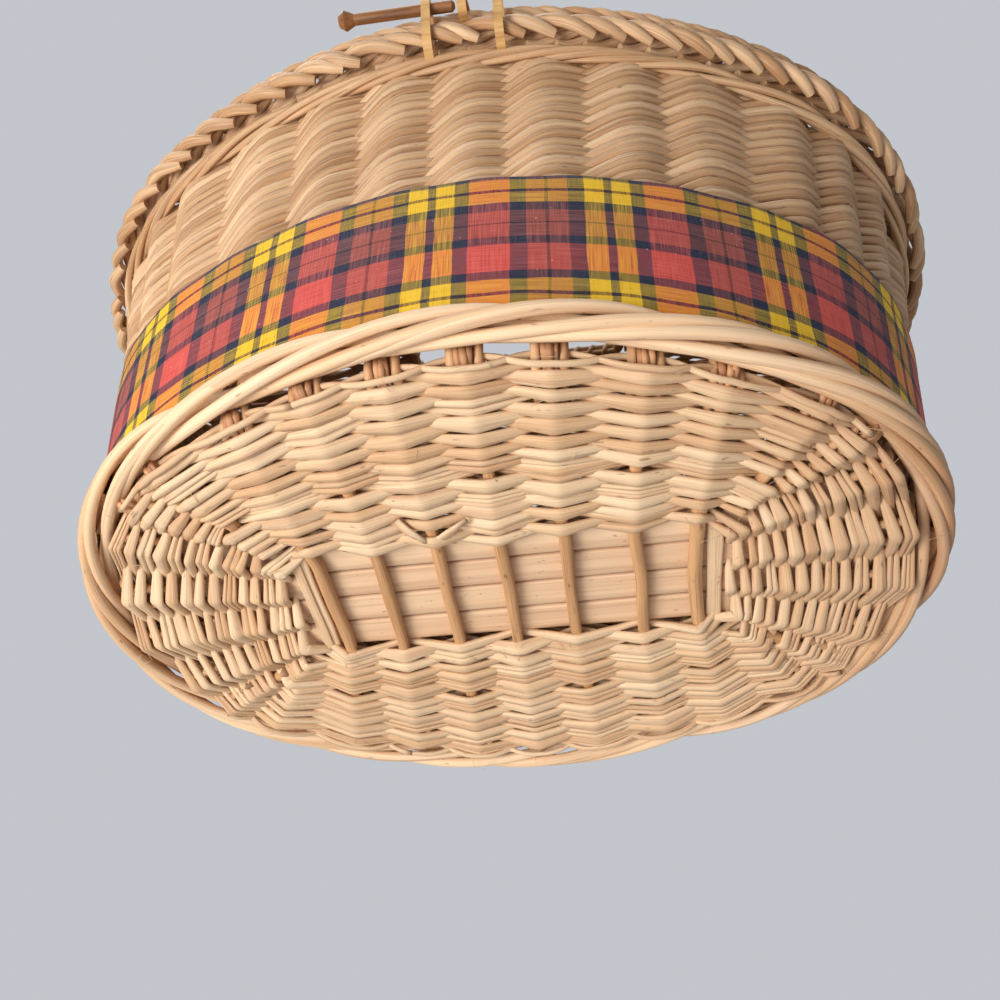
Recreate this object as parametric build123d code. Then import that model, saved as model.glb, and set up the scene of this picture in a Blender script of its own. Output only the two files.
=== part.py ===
"""Wicker fishing creel: an oval willow basket on a stick-and-lath base, with a flat hinged lid.

Frame: X along the basket, -Y the front, where the lid is fastened, +Y the back, where it is hinged, +Z up.
The origin is under the middle of the base, on the plane that the basket stands on.
All sizes are in millimetres.
"""

from build123d import *
import math
import os

# ---- plan of the basket: the base, and how far each level stands outside the one below it
BASE_HALF_LENGTH = 167.0
BASE_HALF_WIDTH = 117.0
END_RADIUS_RATIO = 0.86  # radius of an oval's end arcs over its half width
FOOT_OUTSET_LENGTH = 5.4  # foot centreline outside the edge of the base weave
FOOT_OUTSET_WIDTH = 11.1
SIDE_OUTSET = 1.2  # face of the side weave outside the foot centreline, at the bottom
BAND_FLARE_LENGTH = 13.0  # how far the side leans out from the foot to the top of the cloth
BAND_FLARE_WIDTH = 6.6
TOP_FLARE_LENGTH = 18.2  # and from there to the top of the weave
TOP_FLARE_WIDTH = 14.2
RIM_OUTSET = 4.0  # rim centreline outside the face of the weave, at the top

# ---- heights
BAND_HEIGHT = 79.6
UPPER_HEIGHT = 90.1

# ---- willow and cane stock
WEAVE_THICKNESS = 4.0
BASE_WEAVE_THICKNESS = 2.6
LID_WEAVE_THICKNESS = 3.2
BASE_STICK_RADIUS = 2.6
LATH_WIDTH = 15.3
LATH_END_WIDTH = 5.2
LATH_THICKNESS = 2.8
TIE_WIDTH = 7.0
TIE_THICKNESS = 2.2
STAKE_RADIUS = 1.9
FOOT_ROD_RADIUS = 3.3
RIM_RADIUS = 9.0
LID_BORDER_RADIUS = 6.0
LID_STICK_RADIUS = 2.5
CANE_WIDTH = 4.0  # flat split cane of the hinge and fastening loops
CANE_THICKNESS = 1.6
CLOTH_THICKNESS = 0.7

# ---- clearances
FIT = 0.1  # between pieces of the basket that lie against each other
CLOTH_FIT = 0.15
TURNING_FIT = 0.1  # between a loop and what it turns on
CLEAR = 0.35  # between pieces that move past each other

# ---- base
STICK_POSITIONS = (-75.0, -50.0, -25.0, 0.0, 25.0, 53.0, 77.0)
STICK_SPREAD_RATIO = 1.16  # how far the sticks splay between the bare window and the edge
WINDOW_HALF_LENGTH = 89.0
TIE_POSITION = 84.0
LATH_COUNT = 4
LATH_GAP = 0.3
WINDOW_MARGIN = 1.0  # weave laid over the outer edge of the laths
END_STAKE_POSITIONS = (-48.0, -16.0, 16.0, 48.0)
CORNER_STAKES = 2  # extra base sticks in each corner
CORNER_START_SHARE = 0.34  # where they start, from the window's corner (0) to the edge (1)
STAKE_TUCK = 24.0  # length of a side stake laid along its base stick
STAKE_SPACE = 0.3  # between a base stick and the stakes on each side of it
STAKE_FIT = 0.5  # between a stake and the weave that it stiffens
BEND_RUN = 3.0  # from a stick's end out to where the stakes rise

# ---- foot
FOOT_RODS = 3
FOOT_TURNS = 6
FOOT_POINTS = 60
FOOT_ROD_SIDES = 6
FOOT_END_GAP = 3.0

# ---- lid
LID_GAP = 3.4  # between the rim and the lid's border, filled by the hinge and fastening loops
PIN_SETBACK = 2.4  # axes of the hinge and the peg outside the rim's outermost line
LID_STICK_SPACE = 14.0  # from the slot's binding to the nearest full stick
LID_END_SPACE = 52.7  # from the end of the lid's weave to the outermost stick
SHORT_STICK_POSITIONS = (-40.0, 0.0, 40.0)
SLOT_HALF_LENGTH = 56.0
SLOT_HALF_WIDTH = 19.0
SLOT_CENTRE = 14.0  # towards the hinge from the middle of the lid
SLOT_BINDING_WIDTH = 6.0
SLOT_BINDING_HEIGHT = 10.0

# ---- hinge
HINGE_STICK_RADIUS = 2.8
HINGE_STICK_LENGTH = 112.0
BASKET_LOOP_INSET = 12.0  # from the hinge stick's ends in to the basket's loops
LID_LOOP_INSET = 28.0  # and to the lid's

# ---- fastening: a peg that slides through two loops on the basket and one on the lid
PEG_RADIUS = 2.6
PEG_LOOP_POSITION = 16.0  # of the basket's two loops, each side of the lid's
PEG_TRAVEL = 28.0
PEG_HEAD_RADIUS = 4.6
PEG_HEAD_LENGTH = 7.0
PEG_HEAD_GAP = 3.0  # between the head and the first loop, when pushed in
PEG_TIP = 1.3

# ---- strap loops
STRAP_LOOP_WIDTH = 9.0
STRAP_LOOP_STANDOFF = 9.5
STRAP_LOOP_DROP = 46.0  # below the centre of the rim
STRAP_LOOP_EMBED = 2.5

# ---- ribs of the side weave above the cloth
RIB_HALF_WIDTH = 8.0
RIB_DEPTH = 3.8

# ---- flats that curved willow is drawn with
END_PANEL_ANGLE = 8.0  # degrees of turn in one flat panel of the wall, at the ends
SIDE_PANEL_ANGLE = 5.0  # and along the sides
BORDER_SIDES = 8
STICK_SIDES = 8
STAKE_SIDES = 6


class Oval:
    """A four-centred oval: two end arcs and two flatter side arcs, tangent where they meet."""

    def __init__(self, half_length, half_width, end_radius=None):
        self.half_length = half_length
        self.half_width = half_width
        self.end_radius = END_RADIUS_RATIO * half_width if end_radius is None else end_radius
        run = half_length - self.end_radius
        drop = half_width - self.end_radius
        self.side_radius = (run**2 + half_width**2 - self.end_radius**2) / (2 * drop)
        self.end_centre = run
        self.side_centre = self.side_radius - half_width
        self.joint_angle = math.atan2(self.side_centre, run)

    def grown(self, length, width=None):
        """The oval moved outwards, by the same distance all round if width is left out."""
        if width is None:
            return Oval(self.half_length + length, self.half_width + length, self.end_radius + length)
        return Oval(self.half_length + length, self.half_width + width)

    def at(self, angle, outset=0.0, along=0.0):
        """Point whose outward normal has this angle from +X, moved outwards and along the edge."""
        cos, sin = math.cos(angle), math.sin(angle)
        folded = math.atan2(abs(sin), abs(cos))
        if folded <= self.joint_angle:
            x = math.copysign(self.end_centre, cos) + self.end_radius * cos
            y = self.end_radius * sin
        else:
            x = self.side_radius * cos
            y = self.side_radius * sin - math.copysign(self.side_centre, sin)
        return x + outset * cos - along * sin, y + outset * sin + along * cos

    def angle_at_x(self, x, side):
        """Normal angle of the point at this x on the front (side -1) or the back (side 1)."""
        return side * math.acos(x / self.side_radius)

    def half_width_at(self, x):
        """Half the oval's width at this x."""
        if abs(x) > self.end_centre + self.end_radius * math.cos(self.joint_angle):
            return math.sqrt(self.end_radius**2 - (abs(x) - self.end_centre) ** 2)
        return math.sqrt(self.side_radius**2 - x**2) - self.side_centre

    def angle_at_y(self, y, end):
        """Normal angle of the point at this y on the left (end -1) or the right (end 1)."""
        angle = math.asin(y / self.end_radius)
        return angle if end > 0 else math.pi - angle

    def angle_towards(self, x, y):
        """Normal angle at the point of the oval that is nearest to a point close to it."""
        end_angle = math.atan2(y, x - math.copysign(self.end_centre, x))
        if math.atan2(abs(y), abs(x) - self.end_centre) <= self.joint_angle:
            return end_angle
        return math.atan2(y + math.copysign(self.side_centre, y), x)

    def wire(self, z):
        """The closed outline at this height."""
        x = self.end_centre + self.end_radius * math.cos(self.joint_angle)
        y = self.end_radius * math.sin(self.joint_angle)
        right, left = self.half_length, -self.half_length
        back, front = self.half_width, -self.half_width
        return Wire(
            [
                ThreePointArc((x, -y, z), (right, 0, z), (x, y, z)),
                ThreePointArc((x, y, z), (0, back, z), (-x, y, z)),
                ThreePointArc((-x, y, z), (left, 0, z), (-x, -y, z)),
                ThreePointArc((-x, -y, z), (0, front, z), (x, -y, z)),
            ]
        )

    def face(self, z):
        """The oval as a flat face at this height."""
        return Face(self.wire(z))

    def lengths(self):
        """Arc lengths from +X round to each of the four arcs' ends."""
        end = 2 * self.joint_angle * self.end_radius
        side = (math.pi - 2 * self.joint_angle) * self.side_radius
        return end / 2, side, end, side, end / 2

    def angle_at_length(self, length):
        """Normal angle after this distance round the oval from +X."""
        joint = self.joint_angle
        starts = (0.0, joint, math.pi - joint, math.pi + joint, 2 * math.pi - joint)
        radii = (self.end_radius, self.side_radius, self.end_radius, self.side_radius, self.end_radius)
        for start, radius, arc in zip(starts, radii, self.lengths()):
            if length <= arc:
                return start + length / radius
            length -= arc
        return 2 * math.pi


# ---- levels of the basket, from the ground up
BASE = Oval(BASE_HALF_LENGTH, BASE_HALF_WIDTH)
STICK_HEIGHT = BASE_WEAVE_THICKNESS + FIT + BASE_STICK_RADIUS
LATH_BOTTOM = STICK_HEIGHT + BASE_STICK_RADIUS + FIT
WINDOW_HALF_WIDTH = (LATH_COUNT * LATH_WIDTH + (LATH_COUNT - 1) * LATH_GAP) / 2 - WINDOW_MARGIN

FOOT_TWIST = FOOT_ROD_RADIUS / math.sin(math.pi / FOOT_RODS) + FIT
FOOT_TWIST /= math.cos(math.pi * FOOT_TURNS / FOOT_POINTS)
FOOT_RADIUS = FOOT_TWIST + FOOT_ROD_RADIUS
FOOT_HEIGHT = BASE_WEAVE_THICKNESS + FIT + FOOT_RADIUS
FOOT = BASE.grown(FOOT_OUTSET_LENGTH, FOOT_OUTSET_WIDTH)

SIDE_BOTTOM = FOOT_HEIGHT + FOOT_RADIUS + FIT
BAND_TOP = SIDE_BOTTOM + BAND_HEIGHT
UPPER_BOTTOM = BAND_TOP + FIT
SIDE_TOP = UPPER_BOTTOM + UPPER_HEIGHT
SIDE_AT_FOOT = FOOT.grown(SIDE_OUTSET)
SIDE_AT_BAND = SIDE_AT_FOOT.grown(BAND_FLARE_LENGTH, BAND_FLARE_WIDTH)
SIDE_AT_TOP = SIDE_AT_BAND.grown(TOP_FLARE_LENGTH, TOP_FLARE_WIDTH)

RIM = SIDE_AT_TOP.grown(RIM_OUTSET)
RIM_HEIGHT = SIDE_TOP + math.sqrt(RIM_RADIUS**2 - RIM_OUTSET**2) + FIT

LID_HEIGHT = RIM_HEIGHT + RIM_RADIUS + LID_GAP + LID_BORDER_RADIUS
LID_FIELD = RIM.grown(-LID_BORDER_RADIUS - FIT)

# axes of the hinge stick, behind the rim, and of the peg, in front of it
PIN_Y = RIM.half_width + RIM_RADIUS + PIN_SETBACK
PIN_Z = RIM_HEIGHT + RIM_RADIUS + LID_GAP / 2
BASKET_LOOP_POSITION = HINGE_STICK_LENGTH / 2 - BASKET_LOOP_INSET
LID_LOOP_POSITION = HINGE_STICK_LENGTH / 2 - LID_LOOP_INSET


def side_level(z):
    """Outer face of the side weave at this height."""
    if z <= BAND_TOP:
        share = (z - SIDE_BOTTOM) / BAND_HEIGHT
        return SIDE_AT_FOOT.grown(share * BAND_FLARE_LENGTH, share * BAND_FLARE_WIDTH)
    share = (z - BAND_TOP) / (SIDE_TOP - BAND_TOP)
    return SIDE_AT_BAND.grown(share * TOP_FLARE_LENGTH, share * TOP_FLARE_WIDTH)


def panel_angles(*ovals):
    """Normal angles where the wall's flat panels meet, among them where each oval's arcs meet."""
    joints = sorted({round(oval.joint_angle, 6) for oval in ovals})
    angles = []
    for low, high, arc in ((0.0, joints[0], END_PANEL_ANGLE), (joints[-1], math.pi / 2, SIDE_PANEL_ANGLE)):
        count = math.ceil((high - low) / math.radians(arc))
        angles += [low + (high - low) * i / count for i in range(count + 1)]
    quarter = sorted(angles + joints[1:-1])
    half = quarter + [math.pi - angle for angle in reversed(quarter[:-1])]
    return half + [math.pi + angle for angle in half[1:-1]]


def shell(bottom, top, inside, outside):
    """Wall between two heights, from inside to outside of the weave's face, flat between its stakes."""
    levels = [(side_level(z), z) for z in (bottom, top)]
    angles = panel_angles(*(oval for oval, _ in levels))
    skins = []
    for outset in (outside, inside):
        outlines = [[(*oval.at(angle, outset=outset), z) for angle in angles] for oval, z in levels]
        skins.append(loft([make_face(Polyline(*points, close=True)) for points in outlines], ruled=True))
    outer, inner = skins
    return outer - inner


def ribbed_outline(oval, z, spokes, outset):
    """Outline that stands out over the stakes of each spoke and sinks in between them."""
    angles = sorted(spoke.side_angle(oval) % (2 * math.pi) for spoke in spokes)
    points = []
    for angle, following in zip(angles, angles[1:] + [angles[0] + 2 * math.pi]):
        points += [oval.at(angle, outset=outset, along=along) for along in (-RIB_HALF_WIDTH, RIB_HALF_WIDTH)]
        points.append(oval.at((angle + following) / 2, outset=outset - RIB_DEPTH))
    return make_face(Polyline(*[(x, y, z) for x, y in points], close=True))


def ribbed_shell(bottom, top, inside, outside):
    """Wall whose weaving shows as a rib over each pair of stakes, where the rods pass outside them."""
    spokes = stick_spokes(-1) + stick_spokes(1) + lath_spokes(-1) + lath_spokes(1) + corner_spokes()
    levels = [(side_level(z), z) for z in (bottom, top)]
    skins = []
    for outset in (outside, inside):
        skins.append(loft([ribbed_outline(oval, z, spokes, outset) for oval, z in levels], ruled=True))
    outer, inner = skins
    return outer - inner


def ring(oval, z, radius):
    """Closed rod that follows an oval, its round section drawn with flats."""
    path = oval.wire(z)
    return sweep(Plane(origin=path @ 0, z_dir=path % 0) * RegularPolygon(radius, BORDER_SIDES), path=path)


def rod(points, radius, sides=None):
    """Straight runs of round rod, or of a polygonal one, mitred where they meet."""
    path = Polyline(*points)
    plane = Plane(origin=path @ 0, z_dir=path % 0)
    section = plane * (RegularPolygon(radius, sides) if sides else Circle(radius))
    return sweep(section, path=path, transition=Transition.RIGHT)


# ------------------------------------------------------------------------------------- base
class Spoke:
    """Line of a base stick or lath, from the bare window to the edge of the base."""

    def __init__(self, start, angle):
        self.start = start
        self.angle = angle
        edge_x, edge_y = BASE.at(angle)
        length = math.hypot(edge_x - start[0], edge_y - start[1])
        self.heading = ((edge_x - start[0]) / length, (edge_y - start[1]) / length)

    def at(self, inset, along=0.0):
        """Point this far in from the edge, moved sideways to the left of the heading."""
        x, y = BASE.at(self.angle)
        dx, dy = self.heading
        return x - inset * dx - along * dy, y - inset * dy + along * dx

    def foot_angle(self, along=0.0):
        """Normal angle of the foot beside this spoke."""
        return FOOT.angle_towards(*self.at(0, along=along))

    def side_angle(self, oval, along=0.0):
        """Normal angle of a level of the side where the stake beside this spoke comes up."""
        angle = SIDE_AT_BAND.angle_towards(*SIDE_AT_FOOT.at(self.foot_angle(along)))
        return oval.angle_towards(*SIDE_AT_BAND.at(angle))

    def foot_offset(self):
        """How far the foot's centreline stands outside the edge of the base here."""
        return math.dist(FOOT.at(self.foot_angle()), BASE.at(self.angle))

    def end(self):
        """End of the stick: the edge of the base weave, or the inner side of the foot where that is nearer."""
        return self.at(max(FIT, FOOT_RADIUS + FIT - self.foot_offset()))


def lath_y(index):
    """Middle of one lath."""
    return (index - (LATH_COUNT - 1) / 2) * (LATH_WIDTH + LATH_GAP)


def stick_spokes(side):
    """The front (-1) or back (1) halves of the cross sticks, from left to right."""
    starts = [(x, side * WINDOW_HALF_WIDTH) for x in STICK_POSITIONS]
    return [Spoke(start, BASE.angle_at_x(start[0] * STICK_SPREAD_RATIO, side)) for start in starts]


def lath_spokes(end):
    """The left (-1) or right (1) ends of the laths, from front to back."""
    ends = [BASE.angle_at_y(y, end) for y in END_STAKE_POSITIONS]
    return [Spoke((end * WINDOW_HALF_LENGTH, lath_y(i)), angle) for i, angle in enumerate(ends)]


def corner_spokes():
    """The short sticks in the four corners."""
    outer_stick = BASE.angle_at_x(STICK_POSITIONS[-1] * STICK_SPREAD_RATIO, 1)
    outer_lath = BASE.angle_at_y(END_STAKE_POSITIONS[-1], 1)
    step = (outer_stick - outer_lath) / (CORNER_STAKES + 1)
    spokes = []
    for i in range(CORNER_STAKES):
        angle = outer_lath + step * (i + 1)
        for end in (-1, 1):
            for side in (-1, 1):
                turned = side * (angle if end > 0 else math.pi - angle)
                spokes.append(Spoke((end * WINDOW_HALF_LENGTH, side * WINDOW_HALF_WIDTH), turned))
    return spokes


def base_stick(front, back):
    """One round cross stick: straight under the laths, then splayed to the edge on both sides."""
    points = [front.end(), front.start, back.start, back.end()]
    return rod([(x, y, STICK_HEIGHT) for x, y in points], BASE_STICK_RADIUS, sides=STICK_SIDES)


def base_lath(left, right):
    """One flat lath: full width over the window, then tapered and fanned out to both ends."""
    tip_inset = 2 * STAKE_RADIUS + BASE_STICK_RADIUS
    half, tip = LATH_WIDTH / 2, LATH_END_WIDTH / 2
    outline = Polyline(
        left.at(tip_inset, along=tip),
        (left.start[0], left.start[1] - half),
        (right.start[0], right.start[1] - half),
        right.at(tip_inset, along=-tip),
        right.at(tip_inset, along=tip),
        (right.start[0], right.start[1] + half),
        (left.start[0], left.start[1] + half),
        left.at(tip_inset, along=-tip),
        close=True,
    )
    return Pos(0, 0, LATH_BOTTOM) * extrude(make_face(outline), LATH_THICKNESS)


def base_tie(end):
    """Flat strip laid across all the laths, where the weaving at one end begins."""
    strip = Box(TIE_WIDTH, 2 * WINDOW_HALF_WIDTH, TIE_THICKNESS, align=(Align.CENTER, Align.CENTER, Align.MAX))
    strip = fillet(strip.edges().filter_by(Axis.Y).group_by(Axis.Z)[0], TIE_THICKNESS / 3)
    return Pos(end * TIE_POSITION, 0, LATH_BOTTOM - FIT) * strip


def corner_stick(spoke):
    """Short base stick pushed into a corner of the weave."""
    end_x, end_y = spoke.end()
    start_x = spoke.start[0] + CORNER_START_SHARE * (end_x - spoke.start[0])
    start_y = spoke.start[1] + CORNER_START_SHARE * (end_y - spoke.start[1])
    return rod([(start_x, start_y, STICK_HEIGHT), (end_x, end_y, STICK_HEIGHT)], BASE_STICK_RADIUS, sides=STICK_SIDES)


def base_weave():
    """Oval field of weaving under the sticks, open at the window where the laths lie bare."""
    window = Rectangle(2 * WINDOW_HALF_LENGTH, 2 * WINDOW_HALF_WIDTH)
    return extrude(BASE.face(0) - window, BASE_WEAVE_THICKNESS)


# ------------------------------------------------------------------------------- foot and side
def foot_rod(index):
    """One of the stout rods twisted together round the foot of the basket."""
    total = sum(FOOT.lengths())
    points = []
    for step in range(FOOT_POINTS + 1):
        length = FOOT_END_GAP / 2 + (total - FOOT_END_GAP) * step / FOOT_POINTS
        twist = 2 * math.pi * (FOOT_TURNS * length / total + index / FOOT_RODS)
        x, y = FOOT.at(FOOT.angle_at_length(length), outset=FOOT_TWIST * math.cos(twist))
        points.append((x, y, FOOT_HEIGHT + FOOT_TWIST * math.sin(twist)))
    return rod(points, FOOT_ROD_RADIUS, sides=FOOT_ROD_SIDES)


def side_stake(spoke, side):
    """One upright: laid along a base stick, bent up round the inner side of the foot, then up the side."""
    along = side * (BASE_STICK_RADIUS + STAKE_SPACE + STAKE_RADIUS)
    inside = -WEAVE_THICKNESS - STAKE_FIT - STAKE_RADIUS
    round_foot = FOOT_RADIUS + STAKE_RADIUS + 2 * FIT
    rise = round_foot - spoke.foot_offset()
    turn = round_foot * math.tan(math.pi / 8)
    lean = round_foot + SIDE_OUTSET + inside
    angle = spoke.foot_angle(along)
    band_angle = SIDE_AT_BAND.angle_towards(*SIDE_AT_FOOT.at(angle))
    top_angle = SIDE_AT_TOP.angle_towards(*SIDE_AT_BAND.at(band_angle))
    points = [
        (*spoke.at(STAKE_TUCK, along=along), STICK_HEIGHT),
        (*spoke.at(rise + BEND_RUN, along=along), STICK_HEIGHT),
        (*FOOT.at(angle, outset=-round_foot), FOOT_HEIGHT),
        (*FOOT.at(angle, outset=-round_foot), FOOT_HEIGHT + turn),
        (*SIDE_AT_FOOT.at(angle, outset=inside), FOOT_HEIGHT + turn + lean),
        (*SIDE_AT_BAND.at(band_angle, outset=inside), BAND_TOP),
        (*SIDE_AT_TOP.at(top_angle, outset=inside), SIDE_TOP),
    ]
    return rod(points, STAKE_RADIUS, sides=STAKE_SIDES)


def side_stakes(spokes):
    """The pairs of uprights beside these sticks or laths."""
    return Compound([side_stake(spoke, side) for spoke in spokes for side in (-1, 1)])


# ------------------------------------------------------------------------------------- loops
def cane_loop(rim_side, rim_radius, pin_side, pin_radius, x):
    """Flat cane band in a YZ plane, round the two circles, like a belt round two pulleys."""
    y1, z1 = rim_side
    y2, z2 = pin_side
    distance = math.hypot(y2 - y1, z2 - z1)

    def belt(extra):
        r1, r2 = rim_radius + extra, pin_radius + extra
        lean = math.acos((r1 - r2) / distance)
        cos, sin = math.cos(lean), math.sin(lean)
        upper = [(r1 * cos, r1 * sin), (distance + r2 * cos, r2 * sin)]
        lower = [(distance + r2 * cos, -r2 * sin), (r1 * cos, -r1 * sin)]
        outline = [
            Line(*upper),
            ThreePointArc(upper[1], (distance + r2, 0), lower[0]),
            Line(*lower),
            ThreePointArc(lower[1], (-r1, 0), upper[0]),
        ]
        return make_face(outline)

    toward = (0, (y2 - y1) / distance, (z2 - z1) / distance)
    plane = Plane(origin=(x - CANE_WIDTH / 2, y1, z1), x_dir=toward, z_dir=(1, 0, 0))
    return extrude(plane * (belt(CANE_THICKNESS) - belt(0)), CANE_WIDTH)


def slanted(radius, slope):
    """Radius of the opening that a slanting rod needs in a band of cane."""
    return radius / math.cos(slope) + CANE_WIDTH / 2 * math.tan(slope)


def loop_opening(x, radius):
    """Radius of the opening in a loop tied round a border of this radius."""
    return slanted(radius, math.asin(abs(x) / RIM.side_radius)) + FIT


def pin_loop(x, side, height, radius, pin_radius):
    """Cane loop from a border of this height and radius to a pin behind (1) or in front of it (-1)."""
    border_y = side * RIM.half_width_at(x)
    return cane_loop((border_y, height), loop_opening(x, radius), (side * PIN_Y, PIN_Z), pin_radius, x)


def cane_passages(places, height, radius):
    """Slots in a weave where loops tied round the border beside it pass through."""
    slots = []
    for x, side in places:
        reach = loop_opening(x, radius) + CANE_THICKNESS + FIT
        slots.append(Pos(x, side * RIM.half_width_at(x), height) * Box(CANE_WIDTH + 2 * FIT, 2 * reach, 2 * reach))
    return slots


def basket_hinge_loop(x):
    """Cane loop that ties the hinge stick to the rim."""
    return pin_loop(x, 1, RIM_HEIGHT, RIM_RADIUS, HINGE_STICK_RADIUS + FIT)


def lid_hinge_loop(x):
    """Cane loop on the lid's border that turns on the hinge stick."""
    return pin_loop(x, 1, LID_HEIGHT, LID_BORDER_RADIUS, HINGE_STICK_RADIUS + TURNING_FIT)


def basket_peg_loop(x):
    """Cane loop on the front of the rim that the peg slides in."""
    return pin_loop(x, -1, RIM_HEIGHT, RIM_RADIUS, PEG_RADIUS + TURNING_FIT)


def lid_peg_loop():
    """Cane loop on the front of the lid's border, between the basket's two."""
    return pin_loop(0, -1, LID_HEIGHT, LID_BORDER_RADIUS, PEG_RADIUS + TURNING_FIT)


def hinge_stick():
    """Straight round stick behind the rim, the pin of the hinge."""
    half = HINGE_STICK_LENGTH / 2
    stick = rod([(-half, PIN_Y, PIN_Z), (half, PIN_Y, PIN_Z)], HINGE_STICK_RADIUS)
    return chamfer(stick.edges().filter_by(GeomType.CIRCLE), HINGE_STICK_RADIUS / 4)


def closure_peg():
    """Turned peg with a round head, drawn back clear of the lid's loop."""
    tip = -CANE_WIDTH / 2 - PEG_TIP
    neck = -PEG_LOOP_POSITION - CANE_WIDTH / 2 - PEG_HEAD_GAP - PEG_TRAVEL
    end = neck - PEG_HEAD_LENGTH
    profile = Polyline(
        (end, 0),
        (end, PEG_HEAD_RADIUS * 0.6),
        (end + PEG_HEAD_LENGTH * 0.4, PEG_HEAD_RADIUS),
        (neck, PEG_RADIUS),
        (tip - PEG_TIP, PEG_RADIUS),
        (tip, PEG_RADIUS / 2),
        (tip, 0),
        close=True,
    )
    return Pos(0, -PIN_Y, PIN_Z) * revolve(make_face(profile), Axis.X)


def strap_loop_place(side):
    """Level of the strap loop, its normal angle, and half the distance between its feet.

    The feet stand on the ribs over the two outermost sticks of this side.
    """
    level = side_level(RIM_HEIGHT - STRAP_LOOP_DROP)
    feet = [spoke.side_angle(level) for spoke in sorted(stick_spokes(1), key=lambda s: -side * s.start[0])[:2]]
    return level, sum(feet) / 2, math.dist(*(level.at(angle) for angle in feet)) / 2


def strap_loop(side):
    """Flat cane bridge on the back of the basket that a carrying strap passes behind."""
    level, angle, half = strap_loop_place(side)
    z = RIM_HEIGHT - STRAP_LOOP_DROP
    out = STRAP_LOOP_STANDOFF
    sagitta = level.side_radius - math.sqrt(level.side_radius**2 - half**2)
    feet = -sagitta - STRAP_LOOP_EMBED
    corners = [(-half, feet), (-half, out), (half, out), (half, feet)]
    path = FilletPolyline(*[level.at(angle, outset=o, along=t) for t, o in corners], radius=out * 0.8)
    return Pos(0, 0, z - STRAP_LOOP_WIDTH / 2) * extrude(trace(path, CANE_THICKNESS), STRAP_LOOP_WIDTH)


# --------------------------------------------------------------------------------------- lid
def lid_weave():
    """Flat oval field of weaving over the lid's sticks, open at the fish slot."""
    slot = Pos(0, SLOT_CENTRE) * RectangleRounded(
        2 * (SLOT_HALF_LENGTH + SLOT_BINDING_WIDTH + FIT),
        2 * (SLOT_HALF_WIDTH + SLOT_BINDING_WIDTH + FIT),
        SLOT_BINDING_WIDTH,
    )
    field = Pos(0, 0, LID_HEIGHT + FIT) * extrude(LID_FIELD.face(0) - slot, LID_WEAVE_THICKNESS)
    places = [(-LID_LOOP_POSITION, 1), (LID_LOOP_POSITION, 1), (0, -1)]
    return field - cane_passages(places, LID_HEIGHT, LID_BORDER_RADIUS)


def upper_side_weave():
    """Side weave above the cloth, with slots below the rim for the basket's loops."""
    places = [(end * BASKET_LOOP_POSITION, 1) for end in (-1, 1)]
    places += [(end * PEG_LOOP_POSITION, -1) for end in (-1, 1)]
    return ribbed_shell(UPPER_BOTTOM, SIDE_TOP, -WEAVE_THICKNESS, 0) - cane_passages(places, RIM_HEIGHT, RIM_RADIUS)


def lid_stick(x, front, back):
    """Cross stick of the lid between two points of its length."""
    z = LID_HEIGHT - LID_STICK_RADIUS
    return rod([(x, front, z), (x, back, z)], LID_STICK_RADIUS, sides=STICK_SIDES)


def lid_reach(x):
    """How far a stick at this x reaches from the middle of the lid to the border."""
    return LID_FIELD.half_width_at(abs(x) + LID_STICK_RADIUS)


def lid_stick_positions():
    """Where the full sticks lie: beside the slot's binding, near the ends, and halfway between."""
    inner = SLOT_HALF_LENGTH + SLOT_BINDING_WIDTH + LID_STICK_SPACE
    outer = LID_FIELD.half_length - LID_END_SPACE
    right = [inner, (inner + outer) / 2, outer]
    return [-x for x in reversed(right)] + right


def full_lid_stick(x):
    """Cross stick of the lid from border to border."""
    reach = lid_reach(x)
    return lid_stick(x, -reach, reach)


def short_lid_sticks(side):
    """Sticks from the slot's binding to the border, in front of it (-1) or behind it (1)."""
    edge = SLOT_CENTRE + side * (SLOT_HALF_WIDTH + SLOT_BINDING_WIDTH + FIT)
    sticks = []
    for x in SHORT_STICK_POSITIONS:
        reach = side * (lid_reach(x) - CANE_THICKNESS - 2 * FIT)
        sticks.append(lid_stick(x, min(edge, reach), max(edge, reach)))
    return Compound(sticks)


def slot_binding():
    """Bound frame round the slot that a catch is dropped through."""
    outer = RectangleRounded(
        2 * (SLOT_HALF_LENGTH + SLOT_BINDING_WIDTH), 2 * (SLOT_HALF_WIDTH + SLOT_BINDING_WIDTH), SLOT_BINDING_WIDTH
    )
    inner = RectangleRounded(2 * SLOT_HALF_LENGTH, 2 * SLOT_HALF_WIDTH, SLOT_BINDING_WIDTH / 2)
    frame = extrude(outer - inner, SLOT_BINDING_HEIGHT)
    frame = chamfer(frame.edges().filter_by(GeomType.LINE).group_by(Axis.Z)[-1], SLOT_BINDING_WIDTH / 4)
    return Pos(0, SLOT_CENTRE, LID_HEIGHT - SLOT_BINDING_HEIGHT / 2) * frame


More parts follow.
